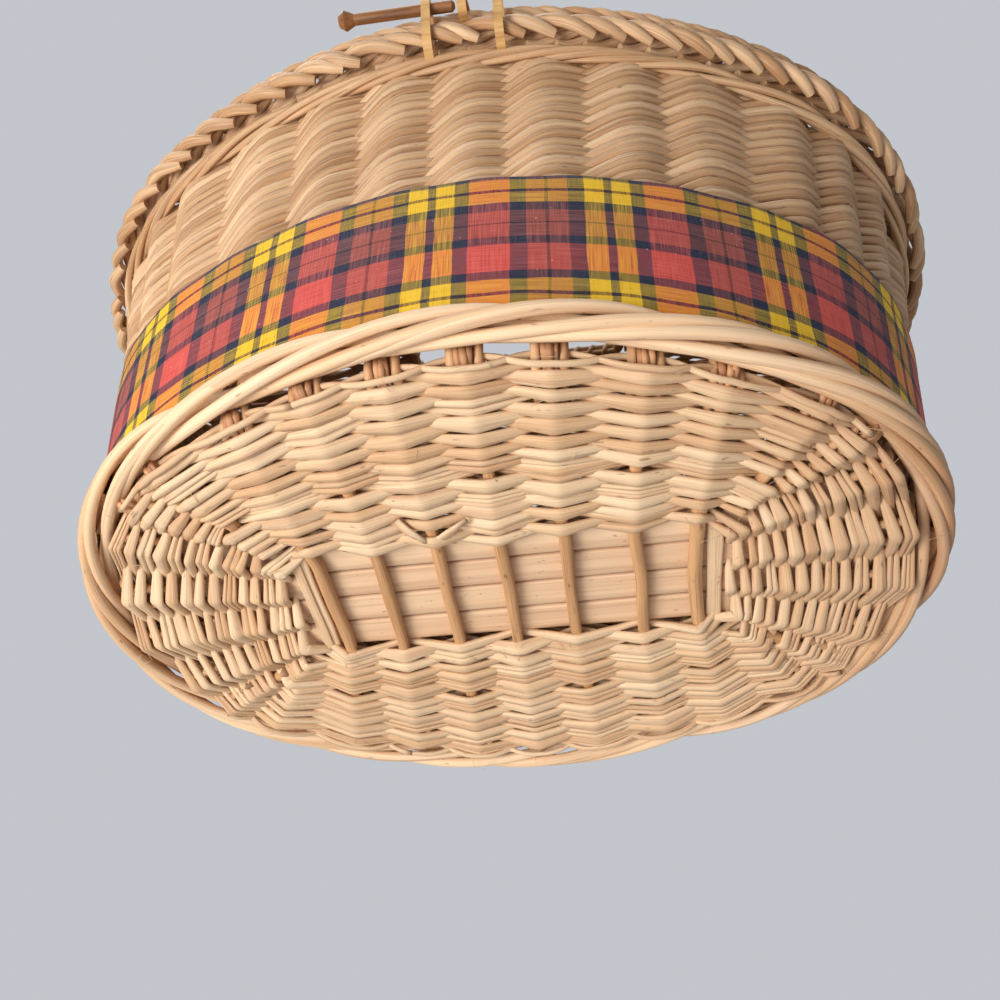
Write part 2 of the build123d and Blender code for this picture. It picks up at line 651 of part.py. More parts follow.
def creel():
    """All the sub-parts of the creel, by node name."""
    fronts, backs, corners = stick_spokes(-1), stick_spokes(1), corner_spokes()
    lefts, rights = lath_spokes(-1), lath_spokes(1)
    nodes = {"base_weave": base_weave()}
    for i, (left, right) in enumerate(zip(lefts, rights)):
        nodes[f"base_lath_{i + 1}"] = base_lath(left, right)
    for i, (front, back) in enumerate(zip(fronts, backs)):
        nodes[f"base_stick_{i + 1}"] = base_stick(front, back)
    nodes["base_corner_sticks"] = Compound([corner_stick(spoke) for spoke in corners])
    nodes["base_tie_left"] = base_tie(-1)
    nodes["base_tie_right"] = base_tie(1)
    for i in range(FOOT_RODS):
        nodes[f"foot_rod_{i + 1}"] = foot_rod(i)
    nodes["side_stakes_back"] = side_stakes(backs)
    nodes["side_stakes_front"] = side_stakes(fronts)
    nodes["side_stakes_left"] = side_stakes(lefts)
    nodes["side_stakes_right"] = side_stakes(rights)
    nodes["side_stakes_corners"] = side_stakes(corners)
    nodes["lower_side_weave"] = shell(SIDE_BOTTOM, BAND_TOP, -WEAVE_THICKNESS, 0)
    nodes["tartan_band"] = shell(SIDE_BOTTOM, BAND_TOP, CLOTH_FIT, CLOTH_FIT + CLOTH_THICKNESS)
    nodes["upper_side_weave"] = upper_side_weave()
    nodes["rim_border"] = ring(RIM, RIM_HEIGHT, RIM_RADIUS)
    nodes["hinge_stick"] = hinge_stick()
    nodes["basket_hinge_loop_left"] = basket_hinge_loop(-BASKET_LOOP_POSITION)
    nodes["basket_hinge_loop_right"] = basket_hinge_loop(BASKET_LOOP_POSITION)
    nodes["strap_loop_left"] = strap_loop(-1)
    nodes["strap_loop_right"] = strap_loop(1)
    nodes["basket_peg_loop_left"] = basket_peg_loop(-PEG_LOOP_POSITION)
    nodes["basket_peg_loop_right"] = basket_peg_loop(PEG_LOOP_POSITION)
    nodes["lid_peg_loop"] = lid_peg_loop()
    nodes["closure_peg"] = closure_peg()
    nodes["lid_border"] = ring(RIM, LID_HEIGHT, LID_BORDER_RADIUS)
    nodes["lid_weave"] = lid_weave()
    for i, x in enumerate(lid_stick_positions()):
        nodes[f"lid_stick_{i + 1}"] = full_lid_stick(x)
    nodes["lid_short_sticks_front"] = short_lid_sticks(-1)
    nodes["lid_short_sticks_back"] = short_lid_sticks(1)
    nodes["slot_binding"] = slot_binding()
    nodes["lid_hinge_loop_left"] = lid_hinge_loop(-LID_LOOP_POSITION)
    nodes["lid_hinge_loop_right"] = lid_hinge_loop(LID_LOOP_POSITION)
    return nodes


def main():
    """Writes one STEP file for each node."""
    os.makedirs("parts", exist_ok=True)
    for name, shape in creel().items():
        export_step(shape, f"parts/{name}.step")


if __name__ == "__main__":
    main()
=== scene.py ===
"""Looks of a wicker fishing creel: woven willow over sticks and split laths, a plaid band and a hinged lid.

All sizes are in metres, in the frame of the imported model: X along the basket, -Y its front, Z up.
"""

from __future__ import annotations

import logging
import math
from dataclasses import dataclass, field
from enum import Enum
from typing import Any, Callable, Sequence

import bpy
import numpy as np
from mathutils import Matrix, Vector


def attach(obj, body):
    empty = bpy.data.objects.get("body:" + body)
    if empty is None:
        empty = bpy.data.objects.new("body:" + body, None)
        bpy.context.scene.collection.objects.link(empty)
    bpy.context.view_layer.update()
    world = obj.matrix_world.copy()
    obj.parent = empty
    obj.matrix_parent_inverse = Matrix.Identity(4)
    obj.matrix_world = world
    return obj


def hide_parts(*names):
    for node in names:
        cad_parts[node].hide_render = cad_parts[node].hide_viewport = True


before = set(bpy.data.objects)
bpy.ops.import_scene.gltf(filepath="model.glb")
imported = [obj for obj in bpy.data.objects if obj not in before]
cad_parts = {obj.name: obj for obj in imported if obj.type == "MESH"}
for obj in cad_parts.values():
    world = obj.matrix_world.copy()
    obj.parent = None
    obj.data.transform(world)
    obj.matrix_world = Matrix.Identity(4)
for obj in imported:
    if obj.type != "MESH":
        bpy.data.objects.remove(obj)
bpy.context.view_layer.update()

log = logging.getLogger("creel")
Points = np.ndarray
UP = np.array((0.0, 0.0, 1.0))
END_RADIUS_RATIO = 0.86  # radius of an oval's end arcs over its half width
ROUND_POINTS = 4001  # points that an oval's girth is measured with


def link_object(name: str, data: Any) -> bpy.types.Object:
    """A new object of the scene with this data.

    Args:
        name: the object's name.
        data: its mesh, curve, lamp or camera.

    Returns:
        The object.
    """
    made = bpy.data.objects.new(name, data)
    bpy.context.scene.collection.objects.link(made)
    return made


# ------------------ plan of the basket
@dataclass(frozen=True)
class Oval:
    """A four-centred oval: two end arcs and two flatter side arcs, tangent where they meet."""

    half_length: float
    half_width: float
    end_radius: float

    @classmethod
    def plain(cls, half_length: float, half_width: float) -> Oval:
        """Oval whose end arcs have the basket's usual roundness."""
        return cls(half_length, half_width, END_RADIUS_RATIO * half_width)

    @property
    def end_centre(self) -> float:
        """How far the centres of the end arcs stand from the middle."""
        return self.half_length - self.end_radius

    @property
    def side_radius(self) -> float:
        """Radius of the flatter arcs of the front and the back."""
        drop = self.half_width - self.end_radius
        return (self.end_centre**2 + self.half_width**2 - self.end_radius**2) / (2 * drop)

    @property
    def side_centre(self) -> float:
        """How far the centres of the side arcs stand from the middle."""
        return self.side_radius - self.half_width

    @property
    def joint(self) -> float:
        """Normal angle where an end arc meets a side arc."""
        return math.atan2(self.side_centre, self.end_centre)

    def outset(self, distance: float) -> Oval:
        """The oval moved outwards by the same distance all round."""
        return Oval(self.half_length + distance, self.half_width + distance, self.end_radius + distance)

    def at(self, angle: Points | float, outset: Points | float = 0.0, along: float = 0.0) -> Points:
        """Points whose outward normals have these angles.

        Args:
            angle: normal angles from +X.
            outset: how far outside the oval.
            along: how far moved along the oval's edge.

        Returns:
            The x and y of each point, in the last axis.
        """
        cos, sin = np.cos(angle), np.sin(angle)
        on_end = np.arctan2(np.abs(sin), np.abs(cos)) <= self.joint
        x = np.where(on_end, np.copysign(self.end_centre, cos) + self.end_radius * cos, self.side_radius * cos)
        y = np.where(on_end, self.end_radius * sin, self.side_radius * sin - np.copysign(self.side_centre, sin))
        return np.stack([x + outset * cos - along * sin, y + outset * sin + along * cos], axis=-1)

    def angle_at_x(self, x: float, side: int) -> float:
        """Normal angle of the front (-1) or the back (1) at this x."""
        return side * math.acos(x / self.side_radius)

    def angle_at_y(self, y: float, end: int) -> float:
        """Normal angle of the left (-1) or the right end (1) at this y."""
        angle = math.asin(y / self.end_radius)
        return angle if end > 0 else math.pi - angle

    def angle_towards(self, x: float, y: float) -> float:
        """Normal angle at the point of the oval nearest to a point close to it."""
        if math.atan2(abs(y), abs(x) - self.end_centre) <= self.joint:
            return math.atan2(y, x - math.copysign(self.end_centre, x))
        return math.atan2(y + math.copysign(self.side_centre, y), x)

    def half_width_at(self, x: float) -> float:
        """Half the oval's width at this x."""
        if abs(x) > self.end_centre + self.end_radius * math.cos(self.joint):
            return math.sqrt(max(self.end_radius**2 - (abs(x) - self.end_centre) ** 2, 0.0))
        return math.sqrt(self.side_radius**2 - x**2) - self.side_centre

    def half_length_at(self, y: float) -> float:
        """Half the oval's length at this y."""
        if abs(y) < self.end_radius * math.sin(self.joint):
            return self.end_centre + math.sqrt(self.end_radius**2 - y**2)
        return math.sqrt(max(self.side_radius**2 - (abs(y) + self.side_centre) ** 2, 0.0))

    def evenly(self, count: int) -> Points:
        """Normal angles of points spaced evenly round the oval from +X, counterclockwise from above.

        Args:
            count: how many points.

        Returns:
            The angles, 0 first.
        """
        fine = np.linspace(0, 2 * math.pi, ROUND_POINTS)
        xy = self.at(fine)
        run = np.concatenate([[0.0], np.cumsum(np.hypot(*np.diff(xy, axis=0).T))])
        return np.interp(np.arange(count) * run[-1] / count, run, fine)


@dataclass(frozen=True)
class Plan:
    """Sizes and levels of the creel that more than one of its pieces needs."""

    base: Oval = Oval.plain(0.167, 0.117)
    foot: Oval = Oval.plain(0.1724, 0.1281)
    foot_height: float = 0.010112
    foot_radius: float = 0.007412
    side_foot: Oval = Oval.plain(0.1724, 0.1281).outset(0.0012)
    side_band: Oval = Oval.plain(0.1866, 0.1359)
    side_top: Oval = Oval.plain(0.2048, 0.1501)
    rim: Oval = Oval.plain(0.2048, 0.1501).outset(0.004)
    side_bottom: float = 0.017624
    band_top: float = 0.097224
    top: float = 0.187424
    rim_height: float = 0.195586
    lid_height: float = 0.213986
    stick_height: float = 0.0053
    stick_radius: float = 0.0026
    stick_spread: float = 1.16
    lath_bottom: float = 0.0080
    lath_width: float = 0.0153
    lath_pitch: float = 0.0156
    lath_thickness: float = 0.0028
    stake_radius: float = 0.0019
    window_half_length: float = 0.089
    window_half_width: float = 0.03005
    stick_positions: tuple[float, ...] = (-0.075, -0.050, -0.025, 0.0, 0.025, 0.053, 0.077)
    end_stake_positions: tuple[float, ...] = (-0.048, -0.016, 0.016, 0.048)

    def lath_y(self, index: int) -> float:
        """Middle of a lath, counted from the front."""
        return (index - 1.5) * self.lath_pitch


PLAN = Plan()


class SpokeKind(Enum):
    """What a line of the base is."""

    STICK = "stick"
    LATH = "lath"
    CORNER = "corner"


@dataclass(frozen=True)
class Spoke:
    """Line of a base stick or lath, from the bare window to the edge of the base."""

    kind: SpokeKind
    start: tuple[float, float]
    angle: float

    @property
    def edge(self) -> Points:
        """Where it meets the edge of the base."""
        return PLAN.base.at(self.angle)

    @property
    def heading(self) -> Points:
        """Unit direction outwards."""
        way = self.edge - np.array(self.start)
        return way / np.hypot(*way)

    def at(self, inset: float, along: float = 0.0) -> Points:
        """Point this far in from the edge, moved sideways to the left of the heading."""
        dx, dy = self.heading
        return self.edge - inset * self.heading + along * np.array((-dy, dx))

    def share(self, share: float) -> Points:
        """Point at this share of the way from the window to the edge."""
        return np.array(self.start) + share * (self.edge - np.array(self.start))

    def foot_angle(self, along: float = 0.0) -> float:
        """Normal angle of the foot beside this spoke."""
        return PLAN.foot.angle_towards(*self.at(0.0, along))

    @property
    def foot_offset(self) -> float:
        """How far the foot's centreline stands outside the edge of the base here."""
        return float(np.hypot(*(PLAN.foot.at(self.foot_angle()) - self.edge)))


def base_spokes() -> list[Spoke]:
    """All the spokes of the base, counterclockwise from above.

    Returns:
        Sticks, laths and corner sticks in the order that a weaver meets them.
    """
    plan, spokes = PLAN, []
    for side in (-1, 1):
        for x in plan.stick_positions:
            angle = plan.base.angle_at_x(plan.stick_spread * x, side)
            spokes.append(Spoke(SpokeKind.STICK, (x, side * plan.window_half_width), angle))
    for end in (-1, 1):
        for index, y in enumerate(plan.end_stake_positions):
            start = (end * plan.window_half_length, plan.lath_y(index))
            spokes.append(Spoke(SpokeKind.LATH, start, plan.base.angle_at_y(y, end)))
    outer_stick = plan.base.angle_at_x(plan.stick_spread * plan.stick_positions[-1], 1)
    outer_lath = plan.base.angle_at_y(plan.end_stake_positions[-1], 1)
    for step in (1, 2):
        angle = outer_lath + (outer_stick - outer_lath) * step / 3
        for end in (-1, 1):
            for side in (-1, 1):
                turned = side * (angle if end > 0 else math.pi - angle)
                start = (end * plan.window_half_length, side * plan.window_half_width)
                spokes.append(Spoke(SpokeKind.CORNER, start, turned))
    return sorted(spokes, key=lambda spoke: spoke.angle % (2 * math.pi))


# ------------------ node expressions
class Wire:
    """A node's socket with a value, which can be used in plain arithmetic."""

    def __init__(self, shop: Graph, socket: Any) -> None:
        """Keeps the tree it belongs to and the socket."""
        self.shop, self.socket = shop, socket

    def other(self, output: int | str) -> Wire:
        """Another output of the same node."""
        return Wire(self.shop, self.socket.node.outputs[output])

    def apply(self, operation: str, *values: Any) -> Wire:
        """One Math node on this and other values."""
        return self.shop.math(operation, self, *values)

    def __add__(self, other: Any) -> Wire:
        """Sum."""
        return self.apply("ADD", other)

    __radd__ = __add__

    def __mul__(self, other: Any) -> Wire:
        """Product."""
        return self.apply("MULTIPLY", other)

    def __sub__(self, other: Any) -> Wire:
        """Difference."""
        return self.apply("SUBTRACT", other)

    def __rsub__(self, other: Any) -> Wire:
        """Difference from a number."""
        return self.shop.math("SUBTRACT", other, self)

    def __truediv__(self, other: Any) -> Wire:
        """Quotient."""
        return self.apply("DIVIDE", other)

    def __mod__(self, other: Any) -> Wire:
        """Remainder, never below zero."""
        return self.apply("FLOORED_MODULO", other)

    def sin(self) -> Wire:
        """Sine."""
        return self.apply("SINE")

    def clamp(self) -> Wire:
        """Kept between 0 and 1."""
        return self.shop.node("ShaderNodeClamp", {}, {0: self})

    def ramp(self, low: float, high: float) -> Wire:
        """0 below low, 1 above high, smooth between."""
        node = {"interpolation_type": "SMOOTHSTEP", "clamp": True}
        return self.shop.node("ShaderNodeMapRange", node, {0: self, 1: low, 2: high})


Colour = tuple[float, float, float]


def linear(colour: Colour) -> tuple[float, float, float, float]:
    """Colour as it looks on a screen, turned into the light that a shader needs."""
    parts = [c / 12.92 if c <= 0.04045 else ((c + 0.055) / 1.055) ** 2.4 for c in colour]
    return (*parts, 1.0)


class Graph:
    """A node tree that expressions fill."""

    def __init__(self, tree: bpy.types.NodeTree) -> None:
        """Keeps the tree."""
        self.tree = tree

    def node(self, kind: str, settings: dict[str, Any], inputs: dict[Any, Any], output: Any = 0) -> Wire:
        """Adds a node.

        Args:
            kind: the node's type.
            settings: its properties, set first; "stops" holds a ramp's positions and colours, "captures" the kinds
                and names of what a node captures, "colour" what a colour node gives.
            inputs: values or wires by socket index or name.
            output: index or name of the socket to return.

        Returns:
            The chosen output.
        """
        node = self.tree.nodes.new(kind)
        for key, value in settings.items():
            if key == "stops":
                elements = node.color_ramp.elements
                while len(elements) < len(value):
                    elements.new(1.0)
                for element, (position, colour) in zip(elements, value):
                    element.position, element.color = position, colour
            elif key == "interpolation":
                node.color_ramp.interpolation = value
            elif key == "colour":
                node.outputs[0].default_value = (*value, 1.0)
            elif key == "captures":
                for item in value:
                    node.capture_items.new(*item)
            else:
                setattr(node, key, value)
        for key, value in inputs.items():
            if isinstance(value, Wire):
                self.link(value, node.inputs[key])
            else:
                node.inputs[key].default_value = value
        return Wire(self, node.outputs[output])

    def link(self, wire: Wire, target: bpy.types.NodeSocket) -> None:
        """Leads a wire to a socket."""
        self.tree.links.new(wire.socket, target)

    def math(self, operation: str, *values: Any) -> Wire:
        """One Math node on these values."""
        return self.node("ShaderNodeMath", {"operation": operation}, dict(enumerate(values)))

    def vector(self, operation: str, *values: Any) -> Wire:
        """One Vector Math node on these values."""
        return self.node("ShaderNodeVectorMath", {"operation": operation}, dict(enumerate(values)))

    def join(self, x: Any, y: Any, z: Any) -> Wire:
        """A vector from three parts."""
        return self.node("ShaderNodeCombineXYZ", {}, {0: x, 1: y, 2: z})

    def split(self, vector: Wire) -> tuple[Wire, Wire, Wire]:
        """The three parts of a vector."""
        first = self.node("ShaderNodeSeparateXYZ", {}, {0: vector})
        return first, first.other(1), first.other(2)


class Shader(Graph):
    """Builds one node material."""

    def __init__(self, name: str) -> None:
        """Starts an empty material with its output and main shader.

        Args:
            name: the material's name.
        """
        self.material = bpy.data.materials.new(name)
        self.material.use_nodes = True
        super().__init__(self.material.node_tree)
        self.tree.nodes.clear()
        self.output = self.tree.nodes.new("ShaderNodeOutputMaterial")
        self.surface = self.tree.nodes.new("ShaderNodeBsdfPrincipled")
        self.tree.links.new(self.surface.outputs[0], self.output.inputs[0])

    def attribute(self, name: str, output: str = "Fac") -> Wire:
        """An attribute kept on the piece's points."""
        return self.node("ShaderNodeAttribute", {"attribute_name": name}, {}, output)

    def place(self, output: str = "Object") -> Wire:
        """Texture coordinates."""
        return self.node("ShaderNodeTexCoord", {}, {}, output)

    def scaled(self, vector: Wire, scale: Sequence[float]) -> Wire:
        """Vector times a scale on each axis."""
        return self.vector("MULTIPLY", vector, tuple(scale))

    def moved(self, vector: Wire, x: Any, y: Any = 0) -> Wire:
        """Vector moved along its first two axes."""
        return self.vector("ADD", vector, self.join(x, y, 0))

    def noise(self, vector: Wire, scale: float, detail: float = 2.0, rough: float = 0.5) -> Wire:
        """Noise between 0 and 1."""
        values = {"Vector": vector, "Scale": scale, "Detail": detail, "Roughness": rough}
        return self.node("ShaderNodeTexNoise", {}, values)

    def mix(self, share: Any, first: Any, second: Any) -> Wire:
        """Mix of two colours, written as they look or wired.

        Args:
            share: how much of the second colour.
            first: the colour at 0.
            second: the colour at 1.

        Returns:
            The mixed colour.
        """
        settings = {"data_type": "RGBA", "clamp_factor": True}
        first = linear(first) if isinstance(first, tuple) else first
        second = linear(second) if isinstance(second, tuple) else second
        return self.node("ShaderNodeMix", settings, {0: share, 6: first, 7: second}, 2)

    def constant(self, colour: Colour) -> Wire:
        """A colour kept as it is written."""
        return self.node("ShaderNodeRGB", {"colour": colour}, {})

    def bump(self, height: Wire, strength: float, distance: float) -> None:
        """Bumps on the main shader."""
        values = {"Height": height, "Strength": strength, "Distance": distance}
        self.link(self.node("ShaderNodeBump", {}, values), self.surface.inputs["Normal"])

    def finish(self, colour: Wire, roughness: Wire | float, **constants: float) -> bpy.types.Material:
        """Wires colour and roughness, and sets the shader's other sockets.

        Args:
            colour: the base colour.
            roughness: the roughness, wired or constant.
            constants: other sockets by name, with _ for spaces.

        Returns:
            The material.
        """
        self.link(colour, self.surface.inputs["Base Color"])
        if isinstance(roughness, Wire):
            self.link(roughness, self.surface.inputs["Roughness"])
        else:
            self.surface.inputs["Roughness"].default_value = roughness
        for key, value in constants.items():
            self.surface.inputs[key.replace("_", " ")].default_value = value
        return self.material


# ------------------ finishes
@dataclass(frozen=True)
class RodFinish:
    """Peeled willow or split cane whose grain follows each rod.

    The rods carry "grain" (distance along, then the cosine and sine round the rod), "tone" and "cut".
    """

    name: str
    pale: Colour
    mid: Colour
    brown: Colour
    cut: Colour = (0.42, 0.27, 0.16)
    streak_length: float = 0.030
    streaks_round: float = 2.6
    fleck: float = 0.55
    roughness: float = 0.52
    bump: float = 0.35
    contrast: float = 1.0
    # painted shade: how much browner the rods grow towards the left and the right end of the creel
    worn_left: float = 0.0
    worn_right: float = 0.0

    def material(self) -> bpy.types.Material:
        """Builds the material: tone of each rod, streaks along it, flecks, dark cut ends, and painted shade that
        browns the creel's ends.

        Returns:
            The material.
        """
        shop = Shader(self.name)
        grain = shop.attribute("grain", "Vector")
        tone = shop.attribute("tone")
        cut = shop.attribute("cut")
        shift = shop.moved(grain, tone * 40.0)
        streaks = (1 / self.streak_length, self.streaks_round * 2.2, self.streaks_round * 2.2)
        fine = shop.noise(shop.scaled(shift, streaks), 1.0, 4.0, 0.65)
        broad = shop.noise(shop.scaled(shift, (0.35 / self.streak_length, 0.8, 0.8)), 1.0, 2.0)
        spots = shop.noise(shop.scaled(shift, (160.0, 1.4, 1.4)), 1.0, 1.0)
        colour = shop.mix(tone, self.pale, self.mid)
        colour = shop.mix(broad.ramp(0.42, 0.78) * 0.55, colour, self.brown)
        colour = shop.mix(fine.ramp(0.50, 0.74) * (0.42 * self.contrast), colour, self.brown)
        # painted shade: rods browner towards the creel's left and right ends, by object x
        if self.worn_left or self.worn_right:
            x = shop.split(shop.place())[0]
            painted_end_shade = x.ramp(0.07, 0.20) * self.worn_right + x.ramp(-0.13, -0.20) * self.worn_left
            colour = shop.mix(painted_end_shade, colour, self.brown)
        light = tuple(min(1.0, c * 1.06) for c in self.pale)
        colour = shop.mix(fine.ramp(0.48, 0.26) * (0.45 * self.contrast), colour, light)
        colour = shop.mix(spots.ramp(0.70, 0.80) * self.fleck, colour, tuple(c * 0.62 for c in self.brown))
        colour = shop.mix(cut, colour, self.cut)
        shop.bump(fine * 0.8 + spots * 0.4, self.bump, 0.0005)
        return shop.finish(colour, fine * 0.22 + (self.roughness - 0.11), Specular_IOR_Level=0.38)


@dataclass(frozen=True)
class LathFinish:
    """Split board with straight grain along X."""

    name: str = "split_laths"
    pale: Colour = (0.945, 0.805, 0.65)
    mid: Colour = (0.885, 0.72, 0.565)
    dark: Colour = (0.64, 0.45, 0.33)

    def material(self) -> bpy.types.Material:
        """Builds the material: long grain lines, broad warm bands, small checks, and painted shade in the ridges'
        troughs and along the lath edges.

        Returns:
            The material.
        """
        shop = Shader(self.name)
        grain = shop.attribute("grain", "Vector")
        tone = shop.attribute("tone")
        shift = shop.moved(grain, tone * 9.0, tone * 5.0)
        across = shop.split(grain)[1]
        lines = shop.noise(shop.scaled(shift, (12.0, 7.0, 7.0)), 1.0, 4.0, 0.6)
        drift = shop.noise(shop.scaled(shift, (7.0, 0.6, 0.6)), 1.0, 1.0) * 5.0
        ridges = (across * 6.0 + drift).sin() * 0.5 + 0.5
        broad = shop.noise(shop.scaled(shift, (9.0, 1.3, 1.3)), 1.0, 2.0)
        colour = shop.mix(tone * 0.8 + broad.ramp(0.35, 0.7) * 0.5, self.pale, self.mid)
        colour = shop.mix(lines.ramp(0.54, 0.76) * 0.40, colour, self.dark)
        colour = shop.mix(lines.ramp(0.46, 0.30) * 0.35, colour, (0.95, 0.82, 0.69))
        # painted shade: darker in the troughs between the ridges that the bump raises
        colour = shop.mix(ridges.ramp(0.22, 0.0) * 0.16, colour, self.dark)
        # painted shade: each lath darker towards its long edges, beside the gaps
        edge = (across * across).ramp(0.62, 1.0)
        colour = shop.mix(edge * 0.45, colour, self.dark)
        specks = shop.noise(shop.scaled(shift, (260.0, 5.0, 5.0)), 1.0, 1.0)
        colour = shop.mix(specks.ramp(0.70, 0.78) * 0.45, colour, (0.50, 0.30, 0.20))
        colour = shop.mix(shop.attribute("cut"), colour, (0.45, 0.28, 0.18))
        shop.bump(lines * 0.5 + ridges * 0.8, 0.55, 0.0006)
        return shop.finish(colour, lines * 0.2 + 0.5, Specular_IOR_Level=0.35)


@dataclass(frozen=True)
class CaneFinish:
    """Split cane or turned wood of a piece that has no rods of its own."""

    name: str
    pale: Colour
    dark: Colour
    grain: tuple[float, float, float] = (30.0, 400.0, 400.0)
    roughness: float = 0.42

    def material(self) -> bpy.types.Material:
        """Builds the material: grain in the object's own space, with paler places of wear.

        Returns:
            The material.
        """
        shop = Shader(self.name)
        place = shop.place()
        lines = shop.noise(shop.scaled(place, self.grain), 1.0, 4.0, 0.6)
        broad = shop.noise(place, 55.0, 2.0)
        colour = shop.mix(lines.ramp(0.35, 0.75), self.pale, self.dark)
        colour = shop.mix(broad.ramp(0.45, 0.75) * 0.5, colour, tuple(c * 0.8 for c in self.dark))
        shop.bump(lines, 0.4, 0.0004)
        return shop.finish(colour, lines * 0.2 + (self.roughness - 0.1), Specular_IOR_Level=0.42)


@dataclass(frozen=True)
class Stripe:
    """One stripe of the cloth's sett."""

    width: float
    yarn: str


@dataclass(frozen=True)
class PlaidFinish:
    """Traditional plaid cotton, its stripes worked out from the threads of warp and weft.

    The cloth carries UVs in metres: along the band, and up it.
    """

    name: str = "tartan_cloth"
    repeat: float = 0.0667
    phase: float = 0.0454
    thread: float = 0.00048
    drift: float = 0.0012
    fray: float = 0.0006

    def yarn(self, name: str) -> Colour:
        """Colour of a yarn as it looks.

        Args:
            name: what the stripes call it.

        Returns:
            The colour.
        """
        return {
            "yellow": (0.955, 0.745, 0.135),
            "navy": (0.115, 0.135, 0.225),
            "red": (0.842, 0.312, 0.275),
            "brick": (0.620, 0.300, 0.265),
            "dark": (0.230, 0.130, 0.140),
        }[name]

    def stops(self, stripes: Sequence[Stripe]) -> list[tuple[float, tuple[float, ...]]]:
        """Positions and colours, as they look, of a ramp that holds these stripes.

        Args:
            stripes: the stripes in their order.

        Returns:
            Where each stripe starts, as a share of all, and its colour.
        """
        total, start, stops = sum(s.width for s in stripes), 0.0, []
        for stripe in stripes:
            stops.append((start / total, (*self.yarn(stripe.yarn), 1.0)))
            start += stripe.width
        return stops

    @staticmethod
    def sett(threads: str) -> list[Stripe]:
        """Stripes from their widths in mm, each followed by its yarn."""
        words = threads.split()
        return [Stripe(float(width) / 1000, yarn) for width, yarn in zip(words[::2], words[1::2])]

    def warp(self) -> list[Stripe]:
        """Stripes across the band's length, in one repeat."""
        return self.sett(
            "7.5 yellow 3.0 navy 7.4 yellow 5.5 navy 15.4 red 6.1 navy 7.2 brick 1.3 dark 7.2 brick 6.1 navy"
        )

    def weft(self) -> list[Stripe]:
        """Stripes up the band, from its lower edge."""
        return self.sett(
            "5.3 yellow 2.0 dark 6.9 yellow 5.0 navy 16.0 red 5.0 navy 7.8 brick 1.1 dark 7.7 brick 5.6 navy "
            "7.0 yellow 2.0 dark 7.0 yellow 4.0 navy"
        )

    def material(self) -> bpy.types.Material:
        """Builds the material: two ramps of stripes, woven together thread by thread.

        Returns:
            The material.
        """
        shop = Shader(self.name)
        along, up, _ = shop.split(shop.place("UV"))
        place = shop.join(along * 1000.0, up * 1000.0, 0)
        drift = shop.noise(place, 0.05, 1.0) - 0.5
        fray = shop.noise(place, 1.4, 1.0) - 0.5
        warp_at = ((along - self.phase + drift * self.drift + fray * self.fray) / self.repeat) % 1.0
        height = sum(stripe.width for stripe in self.weft())
        weft_at = ((up + drift * self.drift + fray * self.fray) / height).clamp()
        warp, weft = (
            shop.node("ShaderNodeValToRGB", {"stops": self.stops(stripes), "interpolation": "CONSTANT"}, {0: place_of})
            for stripes, place_of in ((self.warp(), warp_at), (self.weft(), weft_at))
        )
        turn = math.pi / self.thread
        weave = (along * turn).sin() * (up * turn).sin()
        ends = shop.noise(shop.join(along * 2100.0, up * 60.0, 0), 1.0, 1.0)
        picks = shop.noise(shop.join(along * 60.0, up * 2100.0, 4.0), 1.0, 1.0)
        share = (0.49 + weave * 0.32 + (ends - 0.5) * 0.85 - (picks - 0.5) * 0.45).clamp()
        colour = shop.mix(share, weft, warp)
        slub = ends * 0.5 + picks * 0.5
        colour = shop.mix(slub.ramp(0.46, 0.66) * 0.16, colour, shop.constant((0.93, 0.86, 0.78)))
        colour = shop.mix(slub.ramp(0.48, 0.28) * 0.30, colour, shop.constant((0.13, 0.09, 0.09)))
        fleck = shop.noise(place, 0.75, 0.0).ramp(0.83, 0.86)
        colour = shop.mix(fleck * 0.55, colour, shop.constant((0.93, 0.90, 0.82)))
        colour = shop.node("ShaderNodeGamma", {}, {0: colour, 1: 2.2})
        shop.bump(weave * 0.35 + slub * 0.9, 0.32, 0.0003)
        return shop.finish(colour, 0.70, Specular_IOR_Level=0.22, Sheen_Weight=0.05, Sheen_Roughness=0.5)


